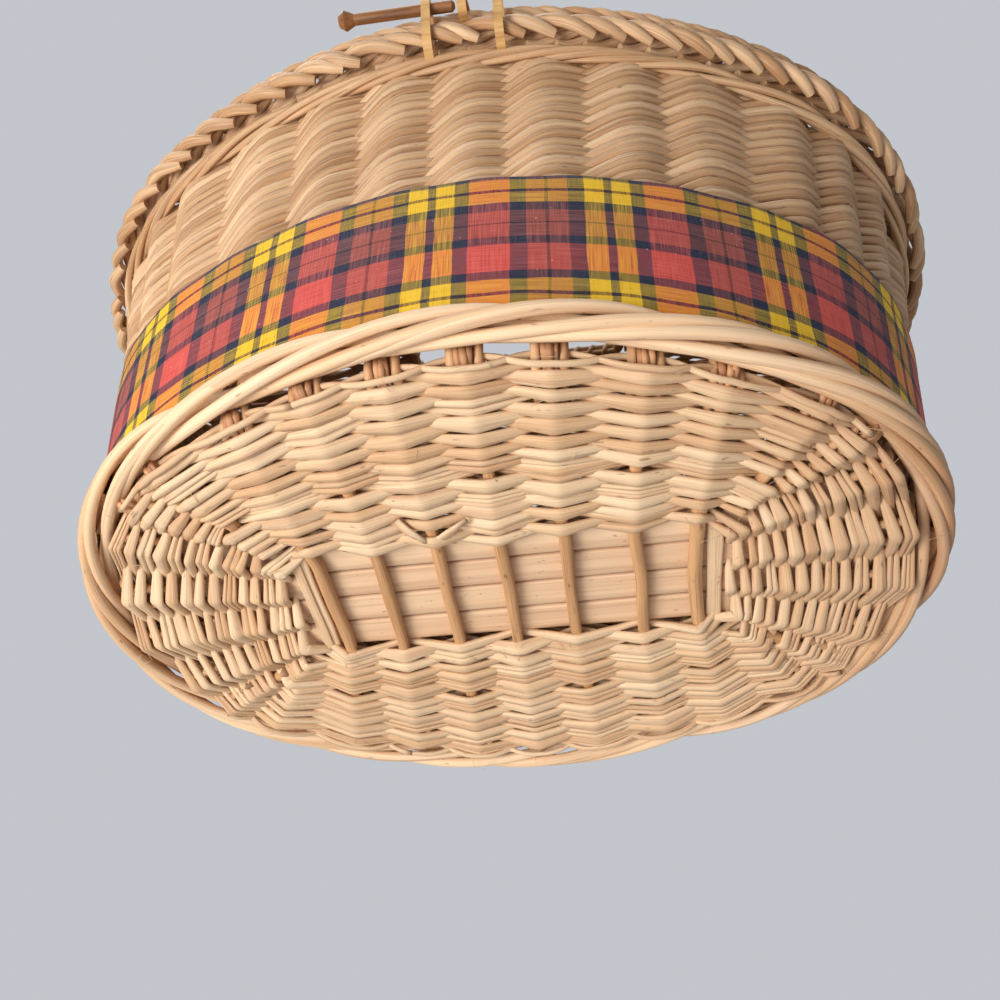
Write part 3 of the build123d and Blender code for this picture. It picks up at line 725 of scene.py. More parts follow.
@dataclass(frozen=True)
class Finishes:
    """Every material of the creel, built once."""

    base_willow: bpy.types.Material
    side_willow: bpy.types.Material
    foot_willow: bpy.types.Material
    stick_willow: bpy.types.Material
    split_willow: bpy.types.Material
    stakes: bpy.types.Material
    laths: bpy.types.Material
    cane: bpy.types.Material
    wrapping: bpy.types.Material
    rod: bpy.types.Material
    peg: bpy.types.Material
    plaid: bpy.types.Material

    @classmethod
    def make(cls) -> Finishes:
        """Builds the materials."""
        return cls(
            base_willow=RodFinish(
                "base_willow", (0.94, 0.81, 0.65), (0.85, 0.67, 0.49), (0.70, 0.48, 0.33),
                streaks_round=3.6, contrast=1.5, bump=0.6, worn_left=0.10, worn_right=0.46,
            ).material(),
            side_willow=RodFinish(
                "side_willow", (0.92, 0.77, 0.60), (0.76, 0.575, 0.40), (0.55, 0.37, 0.24),
                contrast=1.7, worn_right=0.25,
            ).material(),
            foot_willow=RodFinish(
                "foot_willow", (0.99, 0.85, 0.69), (0.93, 0.765, 0.585), (0.70, 0.48, 0.31),
                streak_length=0.05, worn_left=0.45, worn_right=0.72,
            ).material(),
            stick_willow=RodFinish(
                "stick_willow", (0.87, 0.67, 0.47), (0.77, 0.56, 0.37), (0.52, 0.34, 0.21),
                streaks_round=3.4, contrast=1.6,
            ).material(),
            split_willow=RodFinish(
                "split_willow", (0.86, 0.65, 0.47), (0.74, 0.52, 0.36), (0.45, 0.28, 0.18),
                streaks_round=4.0, contrast=1.7,
            ).material(),
            stakes=RodFinish("stake_willow", (0.90, 0.72, 0.53), (0.78, 0.56, 0.38), (0.54, 0.35, 0.22)).material(),
            laths=LathFinish().material(),
            cane=CaneFinish("split_cane", (0.87, 0.69, 0.44), (0.72, 0.51, 0.29)).material(),
            wrapping=RodFinish(
                "cane_wrapping", (0.89, 0.73, 0.48), (0.80, 0.60, 0.36), (0.64, 0.44, 0.25), fleck=0.25, roughness=0.40
            ).material(),
            rod=CaneFinish("hinge_willow", (0.85, 0.68, 0.47), (0.68, 0.48, 0.30)).material(),
            peg=CaneFinish("turned_peg", (0.62, 0.41, 0.24), (0.40, 0.24, 0.13), roughness=0.36).material(),
            plaid=PlaidFinish().material(),
        )


# ------------------ rods in plain meshes
CUT_FADE = 0.75  # how dark the edge of a cut end is against its middle
GROUND = 0.0001  # no rod reaches lower than this


@dataclass
class Rods:
    """Rods and strips gathered into one mesh, with the grain, tone and cut of each point."""

    name: str
    sides: int = 8
    square: float = 2.0
    rows: list[dict[str, Points]] = field(default_factory=list)
    count: int = 0

    def add(
        self,
        path: Points,
        normal: Points,
        half_width: Points | float,
        half_thick: Points | float,
        tone: float = 0.5,
        cut_ends: float = 0.0,
        offset: float = 0.0,
        square: float | None = None,
    ) -> None:
        """Adds one rod.

        Args:
            path: its centreline.
            normal: the way its flat side faces, for each point or for all.
            half_width: half its width across.
            half_thick: half its thickness.
            tone: 0 for a pale rod, 1 for a brown one.
            cut_ends: 1 for dark cut ends.
            offset: shift of the grain along the rod.
            square: how square its section is, 2 for an ellipse, if not as the others.
        """
        path = np.asarray(path, float)
        total = len(path)
        way = np.gradient(path, axis=0)
        way /= np.linalg.norm(way, axis=1, keepdims=True) + 1e-12
        across = np.cross(way, np.broadcast_to(normal, path.shape))
        across /= np.linalg.norm(across, axis=1, keepdims=True) + 1e-12
        rise = np.cross(across, way)
        turn = np.arange(self.sides) * 2 * math.pi / self.sides
        cos, sin = np.cos(turn), np.sin(turn)
        power = 2 / (square or self.square)
        profile_w = np.sign(cos) * np.abs(cos) ** power
        profile_t = np.sign(sin) * np.abs(sin) ** power
        wide = np.broadcast_to(np.asarray(half_width, float), (total,))[:, None, None]
        thick = np.broadcast_to(np.asarray(half_thick, float), (total,))[:, None, None]
        rings = path[:, None] + across[:, None] * wide * profile_w[:, None]
        rings = rings + rise[:, None] * thick * profile_t[:, None]
        run = np.concatenate([[0.0], np.cumsum(np.linalg.norm(np.diff(path, axis=0), axis=1))]) + offset
        grain = np.stack(np.broadcast_arrays(run[:, None], cos, sin), -1)
        cut = np.zeros((total, self.sides))
        tips = np.stack([path[0], path[-1]])
        verts = np.concatenate([rings.reshape(-1, 3), tips])
        grain_all = np.concatenate([grain.reshape(-1, 3), [[run[0], 0, 0], [run[-1], 0, 0]]])
        if cut_ends:
            cut[0] = cut[-1] = cut_ends * CUT_FADE
        cut_all = np.concatenate([cut.ravel(), [cut_ends, cut_ends]])
        index = self.count + np.arange(total * self.sides).reshape(total, self.sides)
        following = np.roll(index, -1, axis=1)
        quads = np.stack([index[:-1], following[:-1], following[1:], index[1:]], -1).reshape(-1, 4)
        first, last = self.count + total * self.sides, self.count + total * self.sides + 1
        caps = np.concatenate([
            np.stack([following[0], index[0], np.full(self.sides, first)], -1),
            np.stack([index[-1], following[-1], np.full(self.sides, last)], -1),
        ])
        tones = np.full(len(verts), tone)
        self.rows.append(dict(verts=verts, grain=grain_all, cut=cut_all, tone=tones, quads=quads, caps=caps))
        self.count += len(verts)

    def piece(self, material: bpy.types.Material) -> bpy.types.Object:
        """The gathered rods as one object with this material.

        Args:
            material: what the rods are made of.

        Returns:
            The object.
        """
        joined = {key: np.concatenate([row[key] for row in self.rows]) for key in self.rows[0]}
        joined["verts"][:, 2] = np.maximum(joined["verts"][:, 2], GROUND)
        quads, caps = joined["quads"], joined["caps"]
        mesh = bpy.data.meshes.new(self.name)
        mesh.vertices.add(len(joined["verts"]))
        mesh.vertices.foreach_set("co", joined["verts"].astype(np.float32).ravel())
        mesh.loops.add(quads.size + caps.size)
        mesh.loops.foreach_set("vertex_index", np.concatenate([quads.ravel(), caps.ravel()]).astype(np.int32))
        mesh.polygons.add(len(quads) + len(caps))
        starts = np.concatenate([np.arange(len(quads)) * 4, quads.size + np.arange(len(caps)) * 3])
        mesh.polygons.foreach_set("loop_start", starts.astype(np.int32))
        mesh.update(calc_edges=True)
        mesh.validate()
        mesh.shade_smooth()
        for key in ("grain", "tone", "cut"):
            kind, slot = ("FLOAT_VECTOR", "vector") if key == "grain" else ("FLOAT", "value")
            layer = mesh.attributes.new(key, kind, "POINT")
            layer.data.foreach_set(slot, joined[key].astype(np.float32).ravel())
        mesh.materials.append(material)
        return link_object(self.name, mesh)


def smooth_path(points: Points, radius: float, steps: int = 5) -> Points:
    """Straight runs with their corners rounded.

    Args:
        points: the corners.
        radius: how far from each corner the rounding starts.
        steps: points on each rounding.

    Returns:
        The rounded path.
    """
    points = np.asarray(points, float)
    path = [points[0]]
    for before, corner, after in zip(points, points[1:], points[2:]):
        back, ahead = before - corner, after - corner
        reach = min(radius, np.linalg.norm(back) * 0.48, np.linalg.norm(ahead) * 0.48)
        start = corner + back / np.linalg.norm(back) * reach
        end = corner + ahead / np.linalg.norm(ahead) * reach
        for share in np.linspace(0, 1, steps):
            path.append((1 - share) ** 2 * start + 2 * share * (1 - share) * corner + share**2 * end)
    path.append(points[-1])
    return np.array(path)


def report(piece: bpy.types.Object, body: str, slot: str, *nodes: str) -> bpy.types.Object:
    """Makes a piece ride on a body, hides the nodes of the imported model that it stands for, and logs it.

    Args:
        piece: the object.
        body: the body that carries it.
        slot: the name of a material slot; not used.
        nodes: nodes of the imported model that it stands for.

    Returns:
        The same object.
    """
    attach(piece, body)
    if nodes:
        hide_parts(*nodes)
    log.info("%s: %d faces on %s", piece.name, len(piece.data.polygons), body)
    return piece


# ------------------ rods along a path, by nodes
@dataclass(frozen=True)
class Plait:
    """Rods that lie side by side along a path and turn round it, made with Geometry Nodes."""

    count: int
    reach: float
    turn_from: float
    turn_to: float
    coil: float
    rod: float
    points: int = 14
    sides: int = 8
    taper: float = 0.25
    jitter: float = 0.12
    tuck: float = 0.0
    flat: float = 1.0
    seed: int = 3

    @staticmethod
    def sockets() -> dict[str, str]:
        """The tree's inputs after the path, each named like a field, and their kinds.

        Returns:
            The kinds by name, in the inputs' order.
        """
        whole = ("Count", "Points", "Sides", "Seed")
        parts = ("Reach", "Turn From", "Turn To", "Coil", "Rod", "Taper", "Jitter", "Tuck", "Flat")
        return dict.fromkeys(whole, "Int") | dict.fromkeys(parts, "Float")

    def tree(self, name: str, material: bpy.types.Material) -> bpy.types.NodeTree:
        """Builds the node tree: one curve per rod, bent along the path, then given its thickness.

        Args:
            name: the tree's name.
            material: what the rods are made of.

        Returns:
            The tree, with its sizes as named inputs.
        """
        graph = Graph(bpy.data.node_groups.new(name, "GeometryNodeTree"))
        face = graph.tree.interface
        face.new_socket("Geometry", in_out="INPUT", socket_type="NodeSocketGeometry")
        for label, kind in self.sockets().items():
            face.new_socket(label, in_out="INPUT", socket_type=f"NodeSocket{kind}")
        face.new_socket("Geometry", in_out="OUTPUT", socket_type="NodeSocketGeometry")
        path = graph.node("NodeGroupInput", {}, {})
        count, points, sides, seed, reach, turn_from, turn_to, coil, rod, taper, jitter, tuck, flat = (
            path.other(label) for label in self.sockets()
        )

        def chance(low: float, high: float, salt: int) -> Wire:
            """A random number of each rod."""
            values = {2: low, 3: high, "ID": number, "Seed": seed + float(salt)}
            return graph.node("FunctionNodeRandomValue", {"data_type": "FLOAT"}, values, 1)

        def store(source: Wire, label: str, kind: str, value: Any) -> Wire:
            """Keeps a named attribute on the points of a geometry."""
            values = {"Geometry": source, "Name": label, "Value": value}
            return graph.node("GeometryNodeStoreNamedAttribute", {"data_type": kind, "domain": "POINT"}, values)

        def keep(source: Wire, *items: tuple[str, str, Wire]) -> Wire:
            """Captures values on the points of a geometry: the kind, name and wire of each.

            Args:
                source: the geometry.
                items: what is captured.

            Returns:
                The geometry, with the captured values in its other outputs.
            """
            settings = {"domain": "POINT", "captures": [item[:2] for item in items]}
            wires = {index: item[2] for index, item in enumerate(items, 1)}
            return graph.node("GeometryNodeCaptureAttribute", settings, {0: source, **wires})

        ends_at = {"Start": (0.0, 0.0, 0.0), "End": (1.0, 0.0, 0.0)}
        line = graph.node("GeometryNodeCurvePrimitiveLine", {}, ends_at)
        fine = graph.node("GeometryNodeResampleCurve", {}, {"Curve": line, "Count": points})
        copies = graph.node("GeometryNodeDuplicateElements", {"domain": "SPLINE"}, {"Geometry": fine, "Amount": count})
        share = graph.node("GeometryNodeSplineParameter", {}, {})
        kept = keep(copies, ("INT", "number", copies.other(1)), ("FLOAT", "share", share))
        number, along = kept.other(1), kept.other(2)

        # where each rod lies along the path
        length = graph.node("GeometryNodeCurveLength", {}, {"Curve": path})
        place = (number + chance(-1.0, 1.0, 1) * jitter) / count
        reach = (jitter * chance(-0.8, 0.8, 2)).apply("MULTIPLY_ADD", reach, reach)
        spot = (place + reach * along / length + 2.0).apply("FRACT")
        settings = {"mode": "FACTOR", "use_all_curves": True}
        sample = graph.node("GeometryNodeSampleCurve", settings, {"Curves": path, "Factor": spot}, "Position")

        # how it turns round the path, tucked in and thinner at its ends
        across = graph.vector("CROSS_PRODUCT", sample.other("Tangent"), (0.0, 0.0, 1.0))
        outward = graph.vector("NORMALIZE", across)
        turn = (turn_to - turn_from).apply("MULTIPLY_ADD", along, turn_from)
        ends = along.apply("MULTIPLY_ADD", 2.0, -1.0).apply("ABSOLUTE").apply("POWER", 6.0)
        coil = coil * (1.0 - ends * tuck) * chance(0.955, 1.0, 3)
        values = {0: outward, "Scale": coil * turn.apply("COSINE")}
        side = graph.node("ShaderNodeVectorMath", {"operation": "SCALE"}, values)
        rise = graph.join(0, 0, coil * flat * turn.sin())
        spot_at = graph.vector("ADD", graph.vector("ADD", sample, side), rise)
        bent = graph.node("GeometryNodeSetPosition", {}, {"Geometry": kept, "Position": spot_at})
        size = (1.0 - ends * taper) * chance(0.90, 1.0, 4)
        scaled = graph.node("GeometryNodeSetCurveRadius", {}, {"Curve": bent, "Radius": size})

        # its tone and grain, its thickness and its finish
        toned = store(scaled, "tone", "FLOAT", chance(0.0, 1.0, 5))
        run = keep(store(toned, "cut", "FLOAT", 0.0), ("FLOAT", "run", along * reach + number * 0.37))
        ring = graph.node("GeometryNodeCurvePrimitiveCircle", {"mode": "RADIUS"}, {"Resolution": sides, "Radius": rod})
        round_way = graph.vector("NORMALIZE", graph.node("GeometryNodeInputPosition", {}, {}))
        profile = keep(ring, ("VECTOR", "round", round_way))
        values = {"Curve": run, "Profile Curve": profile, "Fill Caps": True}
        solid = graph.node("GeometryNodeCurveToMesh", {}, values)
        scale = solid.socket.node.inputs.get("Scale")
        if scale is not None:
            graph.link(graph.node("GeometryNodeInputRadius", {}, {}), scale)
        cos, sin, _ = graph.split(profile.other(1))
        stored = store(solid, "grain", "FLOAT_VECTOR", graph.join(run.other(1), cos, sin))
        real = graph.node("GeometryNodeRealizeInstances", {}, {"Geometry": stored})
        smooth = graph.node("GeometryNodeSetShadeSmooth", {}, {"Geometry": real, "Shade Smooth": True})
        dressed = graph.node("GeometryNodeSetMaterial", {}, {"Geometry": smooth, "Material": material})
        graph.link(dressed, graph.tree.nodes.new("NodeGroupOutput").inputs[0])
        return graph.tree

    def along(self, name: str, path: Points, material: bpy.types.Material) -> bpy.types.Object:
        """Makes the rods along a closed path.

        Args:
            name: the piece's name.
            path: points of the path.
            material: what the rods are made of.

        Returns:
            The rods as a plain mesh object.
        """
        curve = bpy.data.curves.new(name + "_path", "CURVE")
        curve.dimensions = "3D"
        spline = curve.splines.new("POLY")
        spline.points.add(len(path) - 1)
        spline.points.foreach_set("co", np.concatenate([path, np.ones((len(path), 1))], axis=1).ravel())
        spline.use_cyclic_u = True
        holder = link_object(name + "_path", curve)
        tree = self.tree(name + "_nodes", material)
        modifier = holder.modifiers.new("plait", "NODES")
        modifier.node_group = tree
        for socket in tree.interface.items_tree:
            if socket.in_out == "INPUT" and socket.name in self.sockets():
                modifier[socket.identifier] = getattr(self, socket.name.lower().replace(" ", "_"))
        graph = bpy.context.evaluated_depsgraph_get()
        mesh = bpy.data.meshes.new_from_object(holder.evaluated_get(graph), depsgraph=graph)
        mesh.name = name
        piece = link_object(name, mesh)
        holder.modifiers.remove(modifier)
        bpy.data.objects.remove(holder)
        return piece


def oval_path(oval: Oval, z: float, count: int = 360) -> Points:
    """Points round an oval at this height."""
    xy = oval.at(oval.evenly(count))
    return np.concatenate([xy, np.full((count, 1), z)], axis=1)


# ------------------ the base
@dataclass(frozen=True)
class Crossing:
    """Where a row of the base crosses a stick, a lath or a bundle of corner sticks."""

    place: Points
    heading: Points
    length: float
    deep: float


STRIP_SHARES = np.array((0.0, 0.045, 0.11, 0.22, 0.36, 0.5, 0.64, 0.78, 0.89, 0.955))  # of the way between crossings
LENS = 0.62  # share of that way over which a strip narrows from its outer crossing
SLIM = 0.80  # its least width, as a share of the inner crossing's


@dataclass
class BaseWeave:
    """Oval field of split willow, woven over and under the sticks and laths round the bare window.

    Shares run from the window (0) to the edge (1). Levels are heights of a strip's middle.
    """

    rows: int = 25
    first: float = 0.010
    covered: float = 0.957
    thickness: float = 0.0015
    outside: float = 0.0016
    over_stick: float = 0.0093
    over_lath: float = 0.0121
    merged_from: float = 0.10
    parted_from: float = 0.42
    fullness: float = 1.08
    narrow_inside: float = 0.62
    widest_half: float = 0.0062
    brown_chance: float = 0.08
    split_chances: tuple[float, ...] = (0.79, 0.18, 0.03)
    tilt: float = 0.20
    seed: int = 11

    def crossings(self, share: float) -> list[Crossing]:
        """What a row crosses, counterclockwise from above.

        Args:
            share: how far out the row lies, from the window (0) to the edge (1).

        Returns:
            Sticks and laths, and the corner sticks: none near the window, then bundled, then apart.
        """
        found: list[Crossing] = []
        corner: list[Spoke] = []
        for spoke in base_spokes():
            length = float(np.hypot(*(spoke.edge - np.array(spoke.start))))
            if spoke.kind is not SpokeKind.CORNER or share >= self.parted_from:
                deep = self.over_lath if spoke.kind is SpokeKind.LATH else self.over_stick
                found.append(Crossing(spoke.share(share), spoke.heading, length, deep))
                continue
            corner.append(spoke)
            if len(corner) == 2:
                first, second = corner
                corner = []
                if share >= self.merged_from:
                    heading = first.heading + second.heading
                    place = (first.share(share) + second.share(share)) / 2
                    found.append(Crossing(place, heading / np.hypot(*heading), length, self.over_stick))
        return found

    @staticmethod
    def strip_path(points: Points, levels: Points, widths: Points, bow: Points) -> tuple[Points, Points]:
        """Path and half widths of a strip through these crossings, creased where it turns round one.

        Args:
            points: where it crosses each spoke, seen from above.
            levels: its height at each.
            widths: its half width at each.
            bow: how far it bows sideways between each two.

        Returns:
            The path and the half widths.
        """
        shares = STRIP_SHARES
        ease = np.clip((shares - 0.03) / 0.94, 0, 1)
        path, half = [], []
        for k in range(len(points) - 1):
            here, there = points[k], points[k + 1]
            way = (there - here) / (np.hypot(*(there - here)) + 1e-9)
            side = np.array((-way[1], way[0])) * bow[k]
            xy = here + shares[:, None] * (there - here) + np.sin(math.pi * shares)[:, None] * side
            z = levels[k] + (levels[k + 1] - levels[k]) * ease
            path.append(np.concatenate([xy, z[:, None]], axis=1))
            outer, inner = max(widths[k], widths[k + 1]), min(widths[k], widths[k + 1])
            from_outer = shares if levels[k] < levels[k + 1] else 1 - shares
            lens = inner * SLIM + (outer - inner * SLIM) * np.clip(1 - from_outer / LENS, 0, 1) ** LENS
            beyond = inner * (SLIM + (1 - SLIM) * (from_outer - LENS) / (1 - LENS))
            half.append(np.where(from_outer > LENS, beyond, lens))
        path.append([[*points[-1], levels[-1]]])
        half.append([widths[-1]])
        return np.concatenate(path), np.concatenate(half)

    def build(self, finishes: Finishes) -> None:
        """Weaves the rows, each in several strips of random length, width and tone.

        Args:
            finishes: the materials.
        """
        rng = np.random.default_rng(self.seed)
        rods = Rods("base_weave_strips", sides=8, square=2.5)
        spread = rng.uniform(0.72, 1.34, self.rows)
        spread *= self.covered / spread.sum()
        middle = self.first + np.cumsum(spread) - spread / 2
        around = np.concatenate([[spread[0]], spread, [spread[-1]]])
        bead = (around[:-2] / 2 + around[1:-1] + around[2:] / 2) / 2
        for row in range(self.rows):
            ring = self.crossings(middle[row])
            points = np.array([c.place for c in ring])
            headings = np.array([c.heading for c in ring])
            reach = bead[row] * np.array([c.length for c in ring])
            out = (np.arange(len(ring)) + row) % 2 == 0
            deep = np.array([c.deep for c in ring])
            count, start = len(ring), int(rng.integers(0, len(ring)))
            while out[start % count]:
                start += 1
            done = 0
            while done < count:
                run = min(int(rng.integers(3, 8)) * 2, count - done)
                which = (start + done + np.arange(run + 1)) % count
                move = rng.normal(0, 0.00030, len(which))[:, None] * headings[which]
                levels = np.where(out[which], self.outside + rng.uniform(-0.00005, 0.00075, len(which)), deep[which])
                size = rng.uniform(0.92, 1.08) * self.fullness
                local = rng.uniform(0.90, 1.10, len(which))
                at_end = np.abs(points[which][:, 0]) > PLAN.window_half_length + 0.004
                local = local * np.where(at_end, rng.uniform(0.84, 0.98), 1.0)
                widths = np.where(out[which], reach[which], reach[which] * self.narrow_inside) * size * local
                widths = np.minimum(widths, self.widest_half)
                bow = rng.normal(0, 0.00032, len(which))
                tone = float(np.clip(rng.beta(1.2, 2.4) + (0.45 if rng.random() < self.brown_chance else 0), 0, 1))
                parts = int(rng.choice((1, 2, 3), p=self.split_chances))
                tilt = rng.normal(0, self.tilt)
                for part in range(parts):
                    aside = (2 * part - parts + 1) / parts * widths[:, None] * headings[which]
                    sliver = widths / parts * rng.uniform(0.92, 1.25 if parts > 1 else 1.0)
                    lift = rng.uniform(0, 0.0004) if parts > 1 else 0.0
                    path, half = self.strip_path(points[which] + move + aside, levels + lift, sliver, bow)
                    away = path * (1, 1, 0)
                    normal = -UP + (tilt + rng.normal(0, 0.08)) * away / np.linalg.norm(away, axis=1, keepdims=True)
                    thick = self.thickness * rng.uniform(0.70, 1.0) * (1.0 if parts == 1 else 0.85)
                    shade = float(np.clip(tone + rng.normal(0, 0.08), 0, 1))
                    offset, square = float(rng.uniform(0, 9)), float(rng.choice((2.2, 3.0, 4.2)))
                    rods.add(path, normal, half, thick, shade, 0.8, offset, square)
                done += run
        report(rods.piece(finishes.base_willow), "basket", "woven_willow", "base_weave")


@dataclass
class LooseEnds:
    """Two strips that have come out of the weave beside the window, and fine fibres of the split willow."""

    strips: tuple[tuple[tuple[float, float], ...], ...] = (
        ((-0.0380, -0.0470), (-0.0330, -0.0415), (-0.0268, -0.0345)),
        ((-0.0252, -0.0330), (-0.0190, -0.0395), (-0.0105, -0.0455)),
    )
    levels: tuple[float, float, float] = (0.0030, 0.0009, 0.0016)
    half_width: float = 0.0022
    half_thickness: float = 0.0007
    fibres: int = 150
    seed: int = 91

    def build(self, finishes: Finishes) -> None:
        """Builds both.

        Args:
            finishes: the materials.
        """
        rng = np.random.default_rng(self.seed)
        rods = Rods("loose_strips", sides=8)
        for strip in self.strips:
            path = smooth_path(np.column_stack([strip, self.levels]), 0.006, 6)
            half = self.half_width * np.interp(np.arange(len(path)), (0, len(path) * 0.6, len(path)), (1.0, 0.9, 0.35))
            offset = float(rng.uniform(0, 5))
            rods.add(path, -UP + np.array((0.0, 0.25, 0.0)), half, self.half_thickness, 0.05, 0.4, offset, 3.0)
        report(rods.piece(finishes.base_willow), "basket", "woven_willow")
        hairs = Rods("loose_fibres", sides=3)
        spokes = base_spokes()
        for _ in range(self.fibres):
            spoke = spokes[int(rng.integers(len(spokes)))]
            share = float(rng.choice((rng.uniform(0, 0.12), rng.uniform(0, 1), rng.uniform(0.93, 1.0))))
            start = np.array([*(spoke.share(share) + rng.normal(0, 0.004, 2)), rng.uniform(0.0008, 0.0020)])
            way = rng.normal(0, 1, 3) * (1, 1, 0.12)
            way /= np.linalg.norm(way)
            bend = rng.normal(0, 1, 3) * (1, 1, 0.1)
            t = np.linspace(0, 1, 5)[:, None]
            path = start + way * t * rng.uniform(0.003, 0.009) + bend * t**2 * 0.0016
            path[:, 2] = np.clip(path[:, 2], 0.0004, 0.0030)
            hairs.add(path, -UP, np.array((1.0, 0.9, 0.8, 0.6, 0.3)) * rng.uniform(0.00010, 0.00022), 0.0001, 0.1)
        report(hairs.piece(finishes.base_willow), "basket", "woven_willow")


@dataclass(frozen=True)
class Tie:
    """Flat strip across the laths at one end of the window."""

    name: str
    x: float
    lean: float
    half_width: float
    tone: float
    shift: float
    doubled: bool


TIES = (Tie("left", -0.0826, 0.0008, 0.0040, 0.05, -1, True), Tie("right", 0.0845, -0.0006, 0.0035, 0.30, 1, False))
SPLINTERS = ((-0.0019, 0.0047), (0.0000, 0.0040), (0.0019, 0.0048), (-0.0010, 0.0066), (0.0011, 0.0068))  # across, up


@dataclass
class BaseFrame:
    """Laths, cross sticks, corner sticks and ties of the base."""

    lath_tip: float = 0.0026
    lath_tones: tuple[float, ...] = (0.25, 0.7, 0.45, 0.6)
    bend: float = 0.0007
    last_stick_stout: float = 1.22
    corner_start: float = 0.34
    corner_slim: float = 0.97
    seed: int = 5

    @staticmethod
    def spoke(kind: SpokeKind, axis: int, value: float, side: int) -> Spoke:
        """The spoke of this kind that starts at this x (axis 0) or y (axis 1), on this side of the other axis.

        Args:
            kind: stick or lath.
            axis: which of its coordinates is given.
            value: that coordinate.
            side: -1 for the front or the left, 1 for the back or the right.

        Returns:
            The spoke.
        """
        return next(
            s for s in base_spokes()
            if s.kind is kind and s.start[1 - axis] * side > 0 and abs(s.start[axis] - value) < 1e-6
        )

    def laths(self, finishes: Finishes) -> None:
        """Four split laths, full width over the window and tapered out to both ends.

        Args:
            finishes: the materials.
        """
        rng = np.random.default_rng(self.seed)
        inset = 2 * PLAN.stake_radius + PLAN.stick_radius
        widths = (self.lath_tip, PLAN.lath_width / 2, PLAN.lath_width / 2, self.lath_tip)
        for index, tone in enumerate(self.lath_tones):
            left, right = (self.spoke(SpokeKind.LATH, 1, PLAN.lath_y(index), end) for end in (-1, 1))
            knots = np.array([left.at(inset), left.start, right.start, right.at(inset)])
            path, half = [], []
            for k, steps in enumerate((10, 44, 10)):
                for share in np.arange(steps) / steps:
                    path.append(knots[k] + share * (knots[k + 1] - knots[k]))
                    half.append(widths[k] + share * (widths[k + 1] - widths[k]))
            path, half = np.array([*path, knots[3]]), np.array([*half, widths[3]])
            wave = np.interp(np.arange(len(half)), np.linspace(0, len(half), 14), rng.uniform(-0.00030, 0.0, 14))
            path = np.column_stack([path, np.full(len(path), PLAN.lath_bottom + PLAN.lath_thickness / 2)])
            rods = Rods(f"lath_{index + 1}", sides=16, square=3.6)
            rods.add(path, -UP, half + wave, PLAN.lath_thickness / 2, tone, 0.6, index * 1.7)
            report(rods.piece(finishes.laths), "basket", "split_laths", f"base_lath_{index + 1}")

    def sticks(self, finishes: Finishes) -> None:
        """Seven cross sticks, a little crooked and planed, with split brown ends.

        Args:
            finishes: the materials.
        """
        rng = np.random.default_rng(self.seed + 1)
        splinters = Rods("stick_splinters", sides=8)
        for index, x in enumerate(PLAN.stick_positions):
            front, back = (self.spoke(SpokeKind.STICK, 0, x, side) for side in (-1, 1))
            ends = [s.at(0.006) for s in (front, back)]
            corners = [ends[0], np.array(front.start), np.array(back.start), ends[1]]
            if index == 0:
                corners[1:3] = [corners[1] + (-0.0025, 0), corners[2] + (0.0030, 0)]
            flat = smooth_path(np.array([[*c, PLAN.stick_height] for c in corners]), 0.012, 4)
            path = self.crooked(flat, rng, self.bend)
            stout = self.last_stick_stout if index == len(PLAN.stick_positions) - 1 else 1.0
            radius = PLAN.stick_radius * np.interp(np.arange(60), np.linspace(0, 60, 11), rng.uniform(0.88, 1.04, 11))
            rods = Rods(f"cross_stick_{index + 1}", sides=12)
            tone, thick = float(rng.uniform(0.1, 0.7)), np.minimum(radius, PLAN.stick_radius)
            rods.add(path, -UP, radius * stout, thick, tone, 1.0, index * 0.9, 2.7)
            for spoke in (front, back):
                self.split_end(splinters, spoke, rng)
            report(rods.piece(finishes.stick_willow), "basket", "willow_rods", f"base_stick_{index + 1}")
        report(splinters.piece(finishes.split_willow), "basket", "willow_rods")

    @staticmethod
    def split_end(rods: Rods, spoke: Spoke, rng: np.random.Generator) -> None:
        """Blocky splinters of a stick's end, that rise beside the uprights and stop under the foot.

        Args:
            rods: where they are added.
            spoke: the line of the stick.
            rng: where chance comes from.
        """
        reach = max(0.0020, spoke.foot_offset - PLAN.foot_radius + 0.0006)
        for along, z in SPLINTERS:
            along += rng.normal(0, 0.00025)
            tip = -rng.uniform(0.75, 1.0) * reach
            insets = np.array((0.012, 0.005, 0.001, 0.45 * tip, tip))
            rise = np.array((0.0, 0.0, 0.0003, 0.0014, rng.uniform(0.0030, 0.0052)))
            lean = np.array((0, 0, 0.2, 0.6, 1.0)) * rng.normal(0, 0.0006)
            xy = np.array([spoke.at(inset, along + lean[k]) for k, inset in enumerate(insets)])
            path = np.column_stack([xy, z + rise])
            half = np.array((0.0010, 0.0011, 0.00125, 0.00135, 0.00125)) * rng.uniform(0.8, 1.1)
            thick, tone, offset = half * rng.uniform(0.8, 1.0), float(rng.uniform(0.1, 1.0)), float(rng.uniform(0, 5))
            rods.add(path, -UP, half, thick, tone, 0.55, offset, 5.0)

    @staticmethod
    def crooked(path: Points, rng: np.random.Generator, size: float) -> Points:
        """A path resampled finely and bent a little sideways.

        Args:
            path: the straight path.
            rng: where chance comes from.
            size: how far it strays.

        Returns:
            The crooked path.
        """
        run = np.concatenate([[0.0], np.cumsum(np.linalg.norm(np.diff(path, axis=0), axis=1))])
        fine = np.linspace(0, run[-1], 60)
        out = np.stack([np.interp(fine, run, path[:, k]) for k in range(3)], -1)
        bend = np.interp(fine, np.linspace(0, run[-1], 9), np.concatenate([[0], rng.normal(0, size, 7), [0]]))
        way = np.gradient(out, axis=0)
        way /= np.linalg.norm(way, axis=1, keepdims=True)
        return out + np.stack([-way[:, 1], way[:, 0], 0 * bend], -1) * bend[:, None]

